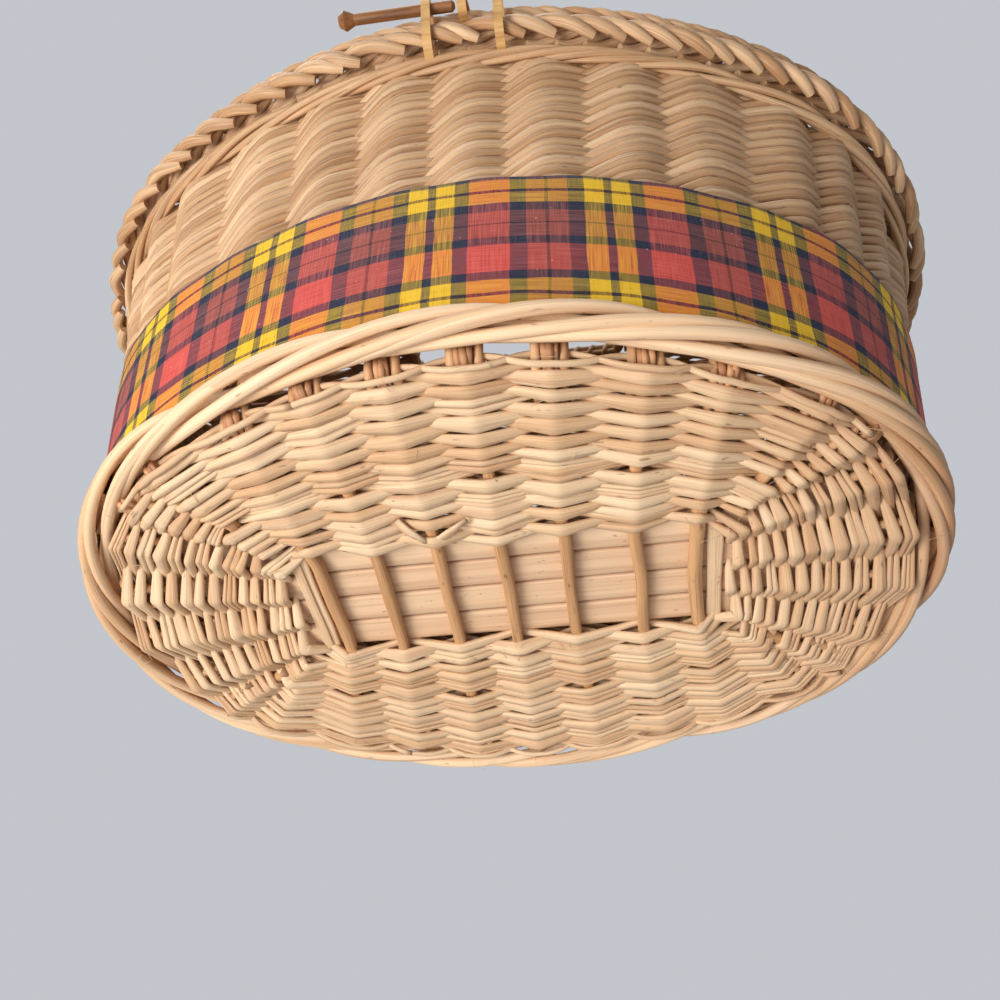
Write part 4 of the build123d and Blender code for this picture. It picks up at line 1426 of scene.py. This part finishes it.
    def corners(self, finishes: Finishes) -> None:
        """Short sticks in the four corners.

        Args:
            finishes: the materials.
        """
        rods, splinters = Rods("corner_sticks", sides=10), Rods("corner_splinters", sides=8)
        rng = np.random.default_rng(self.seed + 2)
        for spoke in base_spokes():
            if spoke.kind is SpokeKind.CORNER:
                end = spoke.at(max(0.0045, PLAN.foot_radius + 0.0001 - spoke.foot_offset))
                start = np.array(spoke.start) + self.corner_start * (end - np.array(spoke.start))
                xy = start + np.linspace(0, 1, 8)[:, None] * (end - start)
                path = np.column_stack([xy, np.full(8, PLAN.stick_height)])
                radius = PLAN.stick_radius * self.corner_slim
                rods.add(path, -UP, radius, radius, float(rng.random()), 1.0)
                self.split_end(splinters, spoke, rng)
        report(rods.piece(finishes.stick_willow), "basket", "willow_rods", "base_corner_sticks")
        report(splinters.piece(finishes.split_willow), "basket", "willow_rods")

    def ties(self, finishes: Finishes) -> None:
        """Flat strips across the laths at both ends of the window.

        Args:
            finishes: the materials.
        """
        for tie in TIES:
            rods = Rods(f"tie_{tie.name}", sides=12, square=4.0)
            y = np.linspace(-PLAN.window_half_width, PLAN.window_half_width, 24)
            x = tie.x + tie.lean * y / PLAN.window_half_width * 0.9
            path = np.stack([x, y, np.full(24, PLAN.lath_bottom - 0.0012)], -1)
            half = tie.half_width * (1 - 0.12 * np.abs(np.sin(y * 70 + tie.shift)))
            rods.add(path, -UP, half, 0.0010, tie.tone, 0.5, 3.0 + tie.shift)
            if tie.doubled:
                rods.add(path + (-0.0006, 0, -0.0013), -UP, half * 0.42, 0.0006, 0.5, 0.5, 1.0)
            report(rods.piece(finishes.base_willow), "basket", "willow_rods", f"base_tie_{tie.name}")

    def build(self, finishes: Finishes) -> None:
        """Builds all of them.

        Args:
            finishes: the materials.
        """
        self.laths(finishes)
        self.sticks(finishes)
        self.corners(finishes)
        self.ties(finishes)


# ------------------ foot and uprights
@dataclass
class Foot:
    """Ring of stout rods twisted round the foot, and the pairs of uprights bent up inside it."""

    ring: Plait = Plait(
        27, 0.200, math.radians(100), math.radians(436), 0.0050, 0.0026, points=34, sides=10, taper=0.35,
        tuck=0.35, jitter=0.2, flat=1.16, seed=7,
    )
    ring_height: float = 0.0111
    strand: float = 0.00130
    strand_insets: tuple[float, float] = (0.0016, 0.0002)
    strand_levels: tuple[float, float] = (0.0088, 0.00155)
    strand_bulge: float = 0.0008
    tucked: float = 0.024  # how far an upright reaches in from the edge of the base
    beside_stick: float = 0.0003
    round_foot: float = 0.0002
    behind_weave: float = 0.0045
    side_over_foot: float = 0.0012
    bend: float = 0.0035
    pair_seed: int = 77
    stake_seed: int = 21

    def build(self, finishes: Finishes) -> None:
        """Builds the ring, the fine pair of rods at the edge of the base, and the uprights.

        Args:
            finishes: the materials.
        """
        ring = self.ring.along("foot_ring", oval_path(PLAN.foot, self.ring_height), finishes.foot_willow)
        report(ring, "basket", "willow_rods", "foot_rod_1", "foot_rod_2", "foot_rod_3")
        self.edge_pair(finishes)
        self.stakes(finishes)

    def edge_pair(self, finishes: Finishes) -> None:
        """Two fine rods paired along each long side of the base, one under each bundle and one over it.

        Args:
            finishes: the materials.
        """
        rng = np.random.default_rng(self.pair_seed)
        rods = Rods("edge_pair", sides=8)
        steps = np.linspace(0, 1, 9)[:-1]
        for side in (-1, 1):
            spokes = [s for s in base_spokes() if s.kind is not SpokeKind.LATH and s.start[1] * side > 0]
            spokes.sort(key=lambda s: math.atan2(float(s.edge[0]), side * float(s.edge[1])))
            for strand in (0, 1):
                for start in range(-strand * 2, len(spokes), 4):
                    which = [k for k in range(start, start + 6) if 0 <= k < len(spokes)]
                    if len(which) < 3:
                        continue
                    low = [(k + strand) % 2 == 0 for k in which]
                    places = [spokes[k].at(self.strand_insets[is_low]) for k, is_low in zip(which, low)]
                    levels = [self.strand_levels[is_low] for is_low in low]
                    path = []
                    for p, q, z0, z1 in zip(places, places[1:], levels, levels[1:]):
                        rise = 0.5 - 0.5 * np.cos(math.pi * np.clip(steps * 1.3 - 0.15, 0, 1))
                        middle = (p + q) / 2
                        bulge = np.sin(math.pi * steps)[:, None] * middle / np.hypot(*middle) * self.strand_bulge
                        xy = p + steps[:, None] * (q - p) + bulge
                        path.append(np.concatenate([xy, (z0 + (z1 - z0) * rise)[:, None]], 1))
                    path = np.concatenate(path)
                    ends = np.interp(np.arange(len(path)), (0, 8, len(path)), (0.6, 1.0, 0.9))
                    radius = self.strand * rng.uniform(0.85, 1.0) * ends
                    tone, offset = float(rng.uniform(0.1, 0.7)), float(rng.uniform(0, 5))
                    rods.add(path, -UP, radius * 1.2, radius, tone, 0.8, offset)
        report(rods.piece(finishes.base_willow), "basket", "willow_rods")

    def stakes(self, finishes: Finishes) -> None:
        """Two uprights beside each spoke, tucked under the weave, bent at the foot and raised to the rim.

        Args:
            finishes: the materials.
        """
        rng = np.random.default_rng(self.stake_seed)
        groups = {name: Rods(f"stakes_{name}", 8) for name in ("back", "front", "left", "right", "corners")}
        for spoke in base_spokes():
            if spoke.kind is SpokeKind.CORNER:
                rods = groups["corners"]
            elif spoke.kind is SpokeKind.STICK:
                rods = groups["front" if spoke.start[1] < 0 else "back"]
            else:
                rods = groups["left" if spoke.start[0] < 0 else "right"]
            for side in (-1, 1):
                self.stake(rods, spoke, side, rng)
        for name, rods in groups.items():
            report(rods.piece(finishes.stakes), "basket", "willow_rods", f"side_stakes_{name}")

    def stake(self, rods: Rods, spoke: Spoke, side: int, rng: np.random.Generator) -> None:
        """Adds one upright.

        Args:
            rods: where it is added.
            spoke: the line that it starts beside.
            side: which side of it.
            rng: where chance comes from.
        """
        plan = PLAN
        along = side * (plan.stick_radius + self.beside_stick + plan.stake_radius)
        inside = -self.behind_weave - plan.stake_radius
        round_foot = plan.foot_radius + plan.stake_radius + self.round_foot
        rise = round_foot - spoke.foot_offset
        turn = round_foot * math.tan(math.pi / 8)
        lean = round_foot + self.side_over_foot + inside
        angle = spoke.foot_angle(along)
        band = plan.side_band.angle_towards(*plan.side_foot.at(angle))
        top = plan.side_top.angle_towards(*plan.side_band.at(band))
        corners = [
            [*spoke.at(self.tucked, along), plan.stick_height],
            [*spoke.at(rise + 0.003, along), plan.stick_height],
            [*plan.foot.at(angle, -round_foot), plan.foot_height],
            [*plan.foot.at(angle, -round_foot), plan.foot_height + turn],
            [*plan.side_foot.at(angle, inside), plan.foot_height + turn + lean],
            [*plan.side_band.at(band, inside), plan.band_top],
            [*plan.side_top.at(top, inside), plan.top],
        ]
        path = smooth_path(np.array(corners), self.bend, 4)
        size = plan.stake_radius * rng.uniform(0.93, 1.0)
        way = np.gradient(path, axis=0)
        normal = np.cross(way, np.array((-spoke.heading[1], spoke.heading[0], 0.0)))
        rods.add(path, normal, size, size, float(rng.uniform(0.1, 0.8)), 1.0, float(rng.uniform(0, 5)))


# ------------------ side weave and cloth
@dataclass
class SideWeave:
    """Randed side: rods that climb in groups, over one pair of uprights and behind the next."""

    group: int = 5
    climb: float = 0.0150  # from one bundle of uprights to the next
    rod: float = 0.0028
    clearance: float = 0.00005
    inside: float = -0.0105  # outset of a rod behind the uprights
    middle: float = -0.0063  # outset of the uprights
    slim: float = 0.70
    swell: float = 0.36
    seed: int = 31
    bottom: float = 0.0205
    top: float = 0.1935

    def crossing(self, spoke: Spoke) -> Callable[[Points, Points], Points]:
        """How to find points beside this spoke's uprights.

        Args:
            spoke: the base spoke that the uprights stand on.

        Returns:
            A function from heights and outsets to points.
        """
        plan = PLAN
        foot = spoke.foot_angle()
        band = plan.side_band.angle_towards(*plan.side_foot.at(foot))
        top = plan.side_top.angle_towards(*plan.side_band.at(band))
        levels = np.array((plan.side_bottom, plan.band_top, plan.top))

        def point(z: Points, outset: Points) -> Points:
            """Points at these heights and outsets.

            Args:
                z: the heights.
                outset: how far outside the wall each lies.

            Returns:
                The points.
            """
            places = [plan.side_foot.at(foot, outset), plan.side_band.at(band, outset), plan.side_top.at(top, outset)]
            low = np.clip((z - levels[0]) / (levels[1] - levels[0]), 0, 1)[..., None]
            high = np.clip((z - levels[1]) / (levels[2] - levels[1]), 0, 1)[..., None]
            xy = places[0] + low * (places[1] - places[0]) + high * (places[2] - places[1])
            return np.concatenate([xy, np.asarray(z)[..., None]], -1)

        return point

    def build(self, finishes: Finishes) -> None:
        """Weaves the whole side as one piece: each rod is full where it shows and thin where it goes behind.

        Args:
            finishes: the materials.
        """
        rng = np.random.default_rng(self.seed)
        rods = Rods("side_weave_rods", sides=6)
        finders = [self.crossing(s) for s in base_spokes()]
        count = len(finders)
        spacing = 2 * self.climb / self.group
        steps = int((self.top - self.bottom) / self.climb) + 2
        shares = np.array((0.0, 0.14, 0.30, 0.5, 0.70, 0.86))
        ease = np.array((0.0, 0.03, 0.22, 0.5, 0.78, 0.97))
        for start in range(count):
            for member in range(self.group):
                base_z = self.bottom + (member - self.group + 1) * spacing
                tone, size = float(rng.beta(1.1, 1.3)), rng.uniform(0.80, 1.04)
                knots = []
                for step in range(-1, steps + 1):
                    z = base_z + self.climb * step + rng.normal(0, 0.0003)
                    outset = -self.rod - self.clearance if step % 2 == 0 else self.inside
                    knots.append((z, outset, (start + step) % count))
                path, full = [], []
                for (z0, o0, k0), (z1, o1, k1) in zip(knots, knots[1:]):
                    full.append(np.where(o0 > o1, 1 - ease, ease))
                    (here, there), (deep_here, deep_there) = (
                        [finders[k](np.full(6, z), np.full(6, o)) for k, z, o in ((k0, z0, oa), (k1, z1, ob))]
                        for oa, ob in ((o0, o1), (self.middle, self.middle))
                    )
                    along = deep_here + shares[:, None] * (deep_there - deep_here)
                    offset = (here - deep_here) * (1 - ease)[:, None] + (there - deep_there) * ease[:, None]
                    path.append(along + offset)
                path = np.concatenate(path)
                keep = (path[:, 2] > self.bottom) & (path[:, 2] < self.top)
                path, full = path[keep], np.concatenate(full)[keep]
                if len(path) < 4:
                    continue
                normal = np.stack([path[:, 0], path[:, 1], 0 * path[:, 0]], -1)
                half = self.rod * size * (self.slim + self.swell * full)
                rods.add(path, normal, half, half * 0.96, tone, 0.3, float(rng.uniform(0, 9)))
        report(rods.piece(finishes.side_willow), "basket", "woven_willow", "lower_side_weave", "upper_side_weave")


@dataclass
class Band:
    """Plaid cloth stretched round the lower half of the side, its upper edge sagging a little."""

    around: int = 420
    rows: int = 26
    outset: float = 0.0004
    height: float = 0.0807  # up the slanting side
    margin: float = 0.0002
    thickness: float = 0.0005
    lift: float = 0.0002
    ripple: float = 0.00025
    sag: float = 0.0005
    seed: int = 41

    def build(self, finishes: Finishes) -> None:
        """Builds the band as one closed sheet with UVs in metres.

        Args:
            finishes: the materials.
        """
        plan = PLAN
        angles = plan.side_foot.evenly(self.around)
        band = np.unwrap([plan.side_band.angle_towards(*p) for p in plan.side_foot.at(angles)])
        low, high = plan.side_foot.at(angles, self.outset), plan.side_band.at(band, self.outset)
        z = np.linspace(plan.side_bottom + self.margin, plan.band_top - self.margin, self.rows)
        share = (z - plan.side_bottom) / (plan.band_top - plan.side_bottom)
        rng = np.random.default_rng(self.seed)
        wave = np.cumsum(rng.normal(0, 1, self.around))
        wave -= np.linspace(0, wave[-1], self.around)
        kernel = np.exp(-np.linspace(-2, 2, 21) ** 2)
        wave = np.convolve(np.tile(wave, 3), kernel / kernel.sum(), "same")[self.around : 2 * self.around]
        wave /= np.abs(wave).max()
        verts = []
        normal = np.stack([np.cos(angles), np.sin(angles)], -1)
        for s, height in zip(share, z):
            edge = min(s, 1 - s)
            ripple = self.ripple * np.sin(np.arange(self.around) * 0.41 + s * 3) * (edge < 0.12)
            xy = low + s * (high - low) + normal * (ripple + self.lift)[:, None]
            drop = wave * self.sag * max(s - 0.9, 0.0) * 10
            verts.append(np.concatenate([xy, (height - np.abs(drop))[:, None]], -1))
        verts = np.concatenate(verts)
        quads, uvs = [], []
        middle = (low + high) / 2
        step = np.hypot(*(np.roll(middle, -1, 0) - middle).T)
        run = np.concatenate([[0.0], np.cumsum(step)])
        front = int(np.argmin(np.abs(middle[:, 0]) + 10 * (middle[:, 1] > 0)))
        run = run - run[front]
        tall = np.concatenate([[0.0], np.cumsum(np.full(self.rows - 1, self.height / (self.rows - 1)))])
        for r in range(self.rows - 1):
            for a in range(self.around):
                b = (a + 1) % self.around
                under, over = r * self.around, (r + 1) * self.around
                quads.append((under + a, under + b, over + b, over + a))
                uvs += [(run[a], tall[r]), (run[a + 1], tall[r]), (run[a + 1], tall[r + 1]), (run[a], tall[r + 1])]
        mesh = bpy.data.meshes.new("plaid_band")
        mesh.from_pydata(verts.tolist(), [], quads)
        layer = mesh.uv_layers.new(name="cloth")
        layer.data.foreach_set("uv", np.array(uvs, np.float32).ravel())
        mesh.shade_smooth()
        mesh.materials.append(finishes.plaid)
        piece = link_object("plaid_band", mesh)
        solid = piece.modifiers.new("cloth", "SOLIDIFY")
        solid.thickness, solid.offset = self.thickness, 0.0
        report(piece, "basket", "tartan_cloth", "tartan_band")


# ------------------ rim, hinge and lid
@dataclass
class Rim:
    """Plaited border of the basket and the lid."""

    basket: Plait = Plait(84, 0.052, math.radians(205), math.radians(-70), 0.00585, 0.00305, tuck=0.25, seed=13)
    wale: Plait = Plait(
        46, 0.115, math.radians(160), math.radians(520), 0.0023, 0.0018,
        points=22, sides=7, taper=0.3, jitter=0.3, seed=19,
    )
    wale_outset: float = -0.0012
    wale_height: float = 0.1866
    lid: Plait = Plait(
        104, 0.046, math.radians(200), math.radians(-110), 0.0039, 0.0020,
        points=13, sides=7, taper=0.2, tuck=0.2, seed=17,
    )

    def build(self, finishes: Finishes) -> None:
        """Builds both borders.

        Args:
            finishes: the materials.
        """
        plan = PLAN
        rim = self.basket.along("rim_plait", oval_path(plan.rim, plan.rim_height), finishes.side_willow)
        report(rim, "basket", "woven_willow", "rim_border")
        under = oval_path(plan.side_top.outset(self.wale_outset), self.wale_height)
        wale = self.wale.along("rim_wale", under, finishes.side_willow)
        report(wale, "basket", "woven_willow")
        lid = self.lid.along("lid_plait", oval_path(plan.rim, plan.lid_height), finishes.side_willow)
        report(lid, "lid", "woven_willow", "lid_border")


@dataclass
class Fittings:
    """Hinge stick, cane loops and peg, which keep their solids and get their finishes."""

    cane: tuple[str, ...] = (
        "basket_hinge_loop_left", "basket_hinge_loop_right", "lid_hinge_loop_left", "lid_hinge_loop_right",
        "basket_peg_loop_left", "basket_peg_loop_right", "lid_peg_loop", "strap_loop_left", "strap_loop_right",
    )

    def build(self, finishes: Finishes) -> None:
        """Gives each its material.

        Args:
            finishes: the materials.
        """
        for name in self.cane:
            self.dress(name, finishes.cane)
        self.dress("hinge_stick", finishes.rod)
        self.dress("closure_peg", finishes.peg)

    @staticmethod
    def dress(name: str, material: bpy.types.Material) -> None:
        """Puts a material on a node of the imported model.

        Args:
            name: the node's name.
            material: what it is made of.
        """
        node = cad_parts[name]
        node.data.materials.clear()
        node.data.materials.append(material)
        log.info("%s: finished with %s", name, material.name)


@dataclass
class Lid:
    """Flat lid: rods woven over and under its cross sticks, open at a slot bound with cane."""

    pitch: float = 0.00325
    rod: float = 0.00200
    stick_radius: float = 0.0025
    full_sticks: tuple[float, ...] = (-0.150, -0.113, -0.076, 0.076, 0.113, 0.150)
    short_sticks: tuple[float, ...] = (-0.040, 0.0, 0.040)
    slot_half_length: float = 0.056
    slot_half_width: float = 0.019
    slot_centre: float = 0.014
    binding: float = 0.006
    under_border: float = 0.0026
    first_row: float = 0.0028
    last_row: float = 0.0020
    frame_rod: float = 0.0022
    wrap: Plait = Plait(
        1, 1.0, 0.0, 2 * math.pi * 118, 0.0024, 0.00125, points=1500, sides=6, taper=0.0, jitter=0.0, flat=1.75, seed=1
    )
    seed: int = 51

    @property
    def field(self) -> Oval:
        """Edge of the woven field, inside the border."""
        return PLAN.rim.outset(-0.0061)

    @property
    def stick_height(self) -> float:
        """Height of the sticks' centrelines."""
        return PLAN.lid_height - self.stick_radius

    def sticks(self, finishes: Finishes) -> None:
        """Builds the sticks from border to border and the short ones before and behind the slot.

        Args:
            finishes: the materials.
        """
        rng = np.random.default_rng(self.seed)
        for index, x in enumerate(self.full_sticks):
            rods = Rods(f"lid_cross_stick_{index + 1}", sides=10)
            reach = self.field.half_width_at(abs(x)) - 0.0005
            self.stick(rods, x, -reach, reach, rng)
            report(rods.piece(finishes.stick_willow), "lid", "willow_rods", f"lid_stick_{index + 1}")
        edge = self.slot_half_width + self.binding
        for name, side in (("front", -1), ("back", 1)):
            rods = Rods(f"lid_short_cross_sticks_{name}", sides=10)
            for x in self.short_sticks:
                reach = side * (self.field.half_width_at(abs(x)) - 0.0021)
                self.stick(rods, x, reach, self.slot_centre + side * edge, rng)
            report(rods.piece(finishes.stick_willow), "lid", "willow_rods", f"lid_short_sticks_{name}")

    def stick(self, rods: Rods, x: float, start: float, end: float, rng: np.random.Generator) -> None:
        """Adds one stick of the lid between two points of its length.

        Args:
            rods: where it is added.
            x: its x.
            start: y of its first end.
            end: y of its other end.
            rng: where chance comes from.
        """
        y = np.linspace(start, end, 24)
        bend = np.interp(y, np.linspace(min(start, end), max(start, end), 6), rng.normal(0, 0.0004, 6))
        path = np.stack([x + bend, y, np.full(24, self.stick_height)], -1)
        radius = self.stick_radius * rng.uniform(0.92, 1.0)
        rods.add(path, UP, radius, radius, float(rng.uniform(0.1, 0.7)), 1.0, float(rng.uniform(0, 5)))

    def runs(self, y: float) -> list[tuple[float, float]]:
        """Stretches of a row at this y: one, or two where the slot parts it.

        Args:
            y: the row's y.

        Returns:
            The x of both ends of each stretch.
        """
        reach = self.field.half_length_at(y) + self.under_border
        if abs(y - self.slot_centre) > self.slot_half_width + self.binding:
            return [(-reach, reach)]
        gate = self.slot_half_length + self.binding - 0.001
        return [(-reach, -gate), (gate, reach)]

    def weave(self, finishes: Finishes) -> None:
        """Builds the rows of rods.

        Args:
            finishes: the materials.
        """
        rng = np.random.default_rng(self.seed + 1)
        rods = Rods("lid_rows", sides=7)
        high = self.stick_height + self.stick_radius + self.rod
        low = self.stick_height - self.stick_radius - self.rod
        y, row = -self.field.half_width + self.first_row, 0
        while y < self.field.half_width - self.last_row:
            beside_slot = abs(y - self.slot_centre) < self.slot_half_width + self.binding + 0.001
            sticks = sorted(self.full_sticks + (() if beside_slot else self.short_sticks))
            for left, right in self.runs(y):
                knots = [(left, self.stick_height + self.stick_radius)]
                for k, x in enumerate(sticks):
                    if left + 0.006 < x < right - 0.006:
                        place = sorted(self.full_sticks + self.short_sticks).index(x)
                        knots.append((x, high if (row + place) % 2 == 0 else low))
                knots.append((right, self.stick_height + self.stick_radius))
                path = []
                for (x0, z0), (x1, z1) in zip(knots, knots[1:]):
                    steps = np.array((0.0, 0.08, 0.2, 0.4, 0.6, 0.8, 0.92))
                    rise = 0.5 - 0.5 * np.cos(math.pi * np.clip(steps * 1.12 - 0.06, 0, 1))
                    path.append(np.stack([x0 + steps * (x1 - x0), np.full(7, y), z0 + (z1 - z0) * rise], -1))
                path = np.concatenate([*path, [[knots[-1][0], y, knots[-1][1]]]])
                path[:, 1] += np.interp(path[:, 0], np.linspace(-0.21, 0.21, 16), rng.normal(0, 0.00022, 16))
                size = self.rod * rng.uniform(0.92, 1.05)
                thin = np.linspace(1.0, 0.86, len(path))[:: 1 if row % 2 else -1]
                tone, offset = float(rng.beta(1.5, 1.9)), float(rng.uniform(0, 9))
                rods.add(path, UP, size * thin * 1.04, size * thin * 0.95, tone, 0.5, offset)
            y += self.pitch * rng.uniform(0.93, 1.07)
            row += 1
        report(rods.piece(finishes.side_willow), "lid", "woven_willow", "lid_weave")

    def slot(self, finishes: Finishes) -> None:
        """Builds the slot's frame: two rods bound together with cane.

        Args:
            finishes: the materials.
        """
        half = self.binding / 2
        x, y = self.slot_half_length + half, self.slot_half_width + half
        corners = np.array([(0, -y), (x, -y), (x, y), (-x, y), (-x, -y), (0, -y)], float)
        corners = np.column_stack([corners + (0, self.slot_centre), np.full(6, PLAN.lid_height)])
        flat = smooth_path(corners, 0.007, 8)
        core = Rods("slot_frame", sides=10)
        for lift in (-self.frame_rod, self.frame_rod):
            core.add(flat + (0, 0, lift), UP, self.frame_rod + 0.0001, self.frame_rod, 0.5 + lift * 60, 0.0)
        report(core.piece(finishes.stick_willow), "lid", "split_cane", "slot_binding")
        around = self.wrap.along("slot_wrapping", flat[:-1], finishes.wrapping)
        report(around, "lid", "split_cane")

    def build(self, finishes: Finishes) -> None:
        """Builds all of the lid but its border and its loops.

        Args:
            finishes: the materials.
        """
        self.sticks(finishes)
        self.weave(finishes)
        self.slot(finishes)


# ------------------ studio
@dataclass
class Studio:
    """Pale floor, soft light and the camera."""

    lens: float = 38.55
    place: tuple[float, float, float] = (0.0447, -0.3297, -0.2910)
    right: tuple[float, float, float] = (0.99059, 0.13651, 0.01004)
    up: tuple[float, float, float] = (0.09206, -0.71873, 0.68916)
    back: tuple[float, float, float] = (0.10129, -0.68175, -0.72454)
    pale: Colour = (0.93, 0.945, 0.97)
    ambient: float = 0.42
    far_light: float = 0.64
    floor_reach: float = 4.0

    def camera(self) -> None:
        """Makes the camera."""
        data = bpy.data.cameras.new("camera")
        data.lens, data.sensor_width, data.clip_start, data.clip_end = self.lens, 36.0, 0.01, 20.0
        camera = link_object("camera", data)
        turn = Matrix((self.right, self.up, self.back)).transposed().to_4x4()
        camera.matrix_world = Matrix.Translation(self.place) @ turn
        bpy.context.scene.camera = camera

    def floor(self) -> None:
        """Makes the floor, which only the camera sees, and only from above."""
        mesh = bpy.data.meshes.new("floor")
        reach = self.floor_reach
        corners = [(-reach, -reach, 0), (reach, -reach, 0), (reach, reach, 0), (-reach, reach, 0)]
        mesh.from_pydata(corners, [], [(0, 1, 2, 3)])
        shop = Shader("floor")
        see_through = shop.tree.nodes.new("ShaderNodeBsdfTransparent")
        mixer = shop.tree.nodes.new("ShaderNodeMixShader")
        behind = shop.node("ShaderNodeNewGeometry", {}, {}, "Backfacing")
        seen = shop.node("ShaderNodeLightPath", {}, {}, "Is Camera Ray")
        hidden = (behind + (1 - seen)).clamp()
        cloud = shop.noise(shop.place(), 3.0, 2.0)
        colour = shop.mix(cloud.ramp(0.3, 0.7), self.pale, tuple(min(1.0, c + 0.03) for c in self.pale))
        shop.finish(colour, 0.9, Specular_IOR_Level=0.1)
        shop.link(hidden, mixer.inputs[0])
        shop.tree.links.new(shop.surface.outputs[0], mixer.inputs[1])
        shop.tree.links.new(see_through.outputs[0], mixer.inputs[2])
        shop.tree.links.new(mixer.outputs[0], shop.output.inputs[0])
        mesh.materials.append(shop.material)
        plane = link_object("floor", mesh)
        plane.visible_shadow = plane.visible_diffuse = plane.visible_glossy = plane.visible_transmission = False

    @staticmethod
    def lamp(name: str, place: Sequence[float], height: float, size: float, power: float) -> None:
        """A soft square lamp, pointed at this height of the creel's middle line.

        Args:
            name: the lamp's name.
            place: where it hangs.
            height: what it is pointed at.
            size: its side.
            power: its power in watts.
        """
        data = bpy.data.lights.new(name, "AREA")
        data.size, data.energy, data.shape = size, power, "SQUARE"
        lamp = link_object(name, data)
        way = np.array((0.0, 0.0, height)) - np.array(place, float)
        lamp.matrix_world = Matrix.Translation(place) @ Vector(way).to_track_quat("-Z", "Y").to_matrix().to_4x4()

    def build(self) -> None:
        """Sets the scene."""
        scene = bpy.context.scene
        scene.view_settings.view_transform = "Standard"
        world = bpy.data.worlds.new("world")
        scene.world = world
        world.use_nodes = True
        shop = Graph(world.node_tree)
        background = shop.tree.nodes["Background"]
        background.inputs[0].default_value = linear(self.pale)
        seen = shop.node("ShaderNodeLightPath", {}, {}, "Is Camera Ray")
        strength = shop.node("ShaderNodeMapRange", {}, {0: seen, 3: self.ambient, 4: self.far_light})
        shop.link(strength, background.inputs[1])
        self.camera()
        self.floor()
        self.lamp("key", (-0.75, -0.78, -0.72), 0.05, size=0.6, power=13.8)
        self.lamp("fill", (-0.55, -0.35, -0.95), 0.0, size=0.9, power=5.0)
        self.lamp("top", (-0.4, -0.6, 1.5), 0.1, size=1.2, power=12.0)


def main() -> None:
    """Builds the creel and its studio."""
    logging.basicConfig(level=logging.INFO, format="%(name)s %(message)s")
    finishes = Finishes.make()
    for part in (BaseWeave(), LooseEnds(), BaseFrame(), Foot(), SideWeave(), Band(), Rim(), Fittings(), Lid()):
        part.build(finishes)
    Studio().build()


if __name__ == "__main__":
    main()
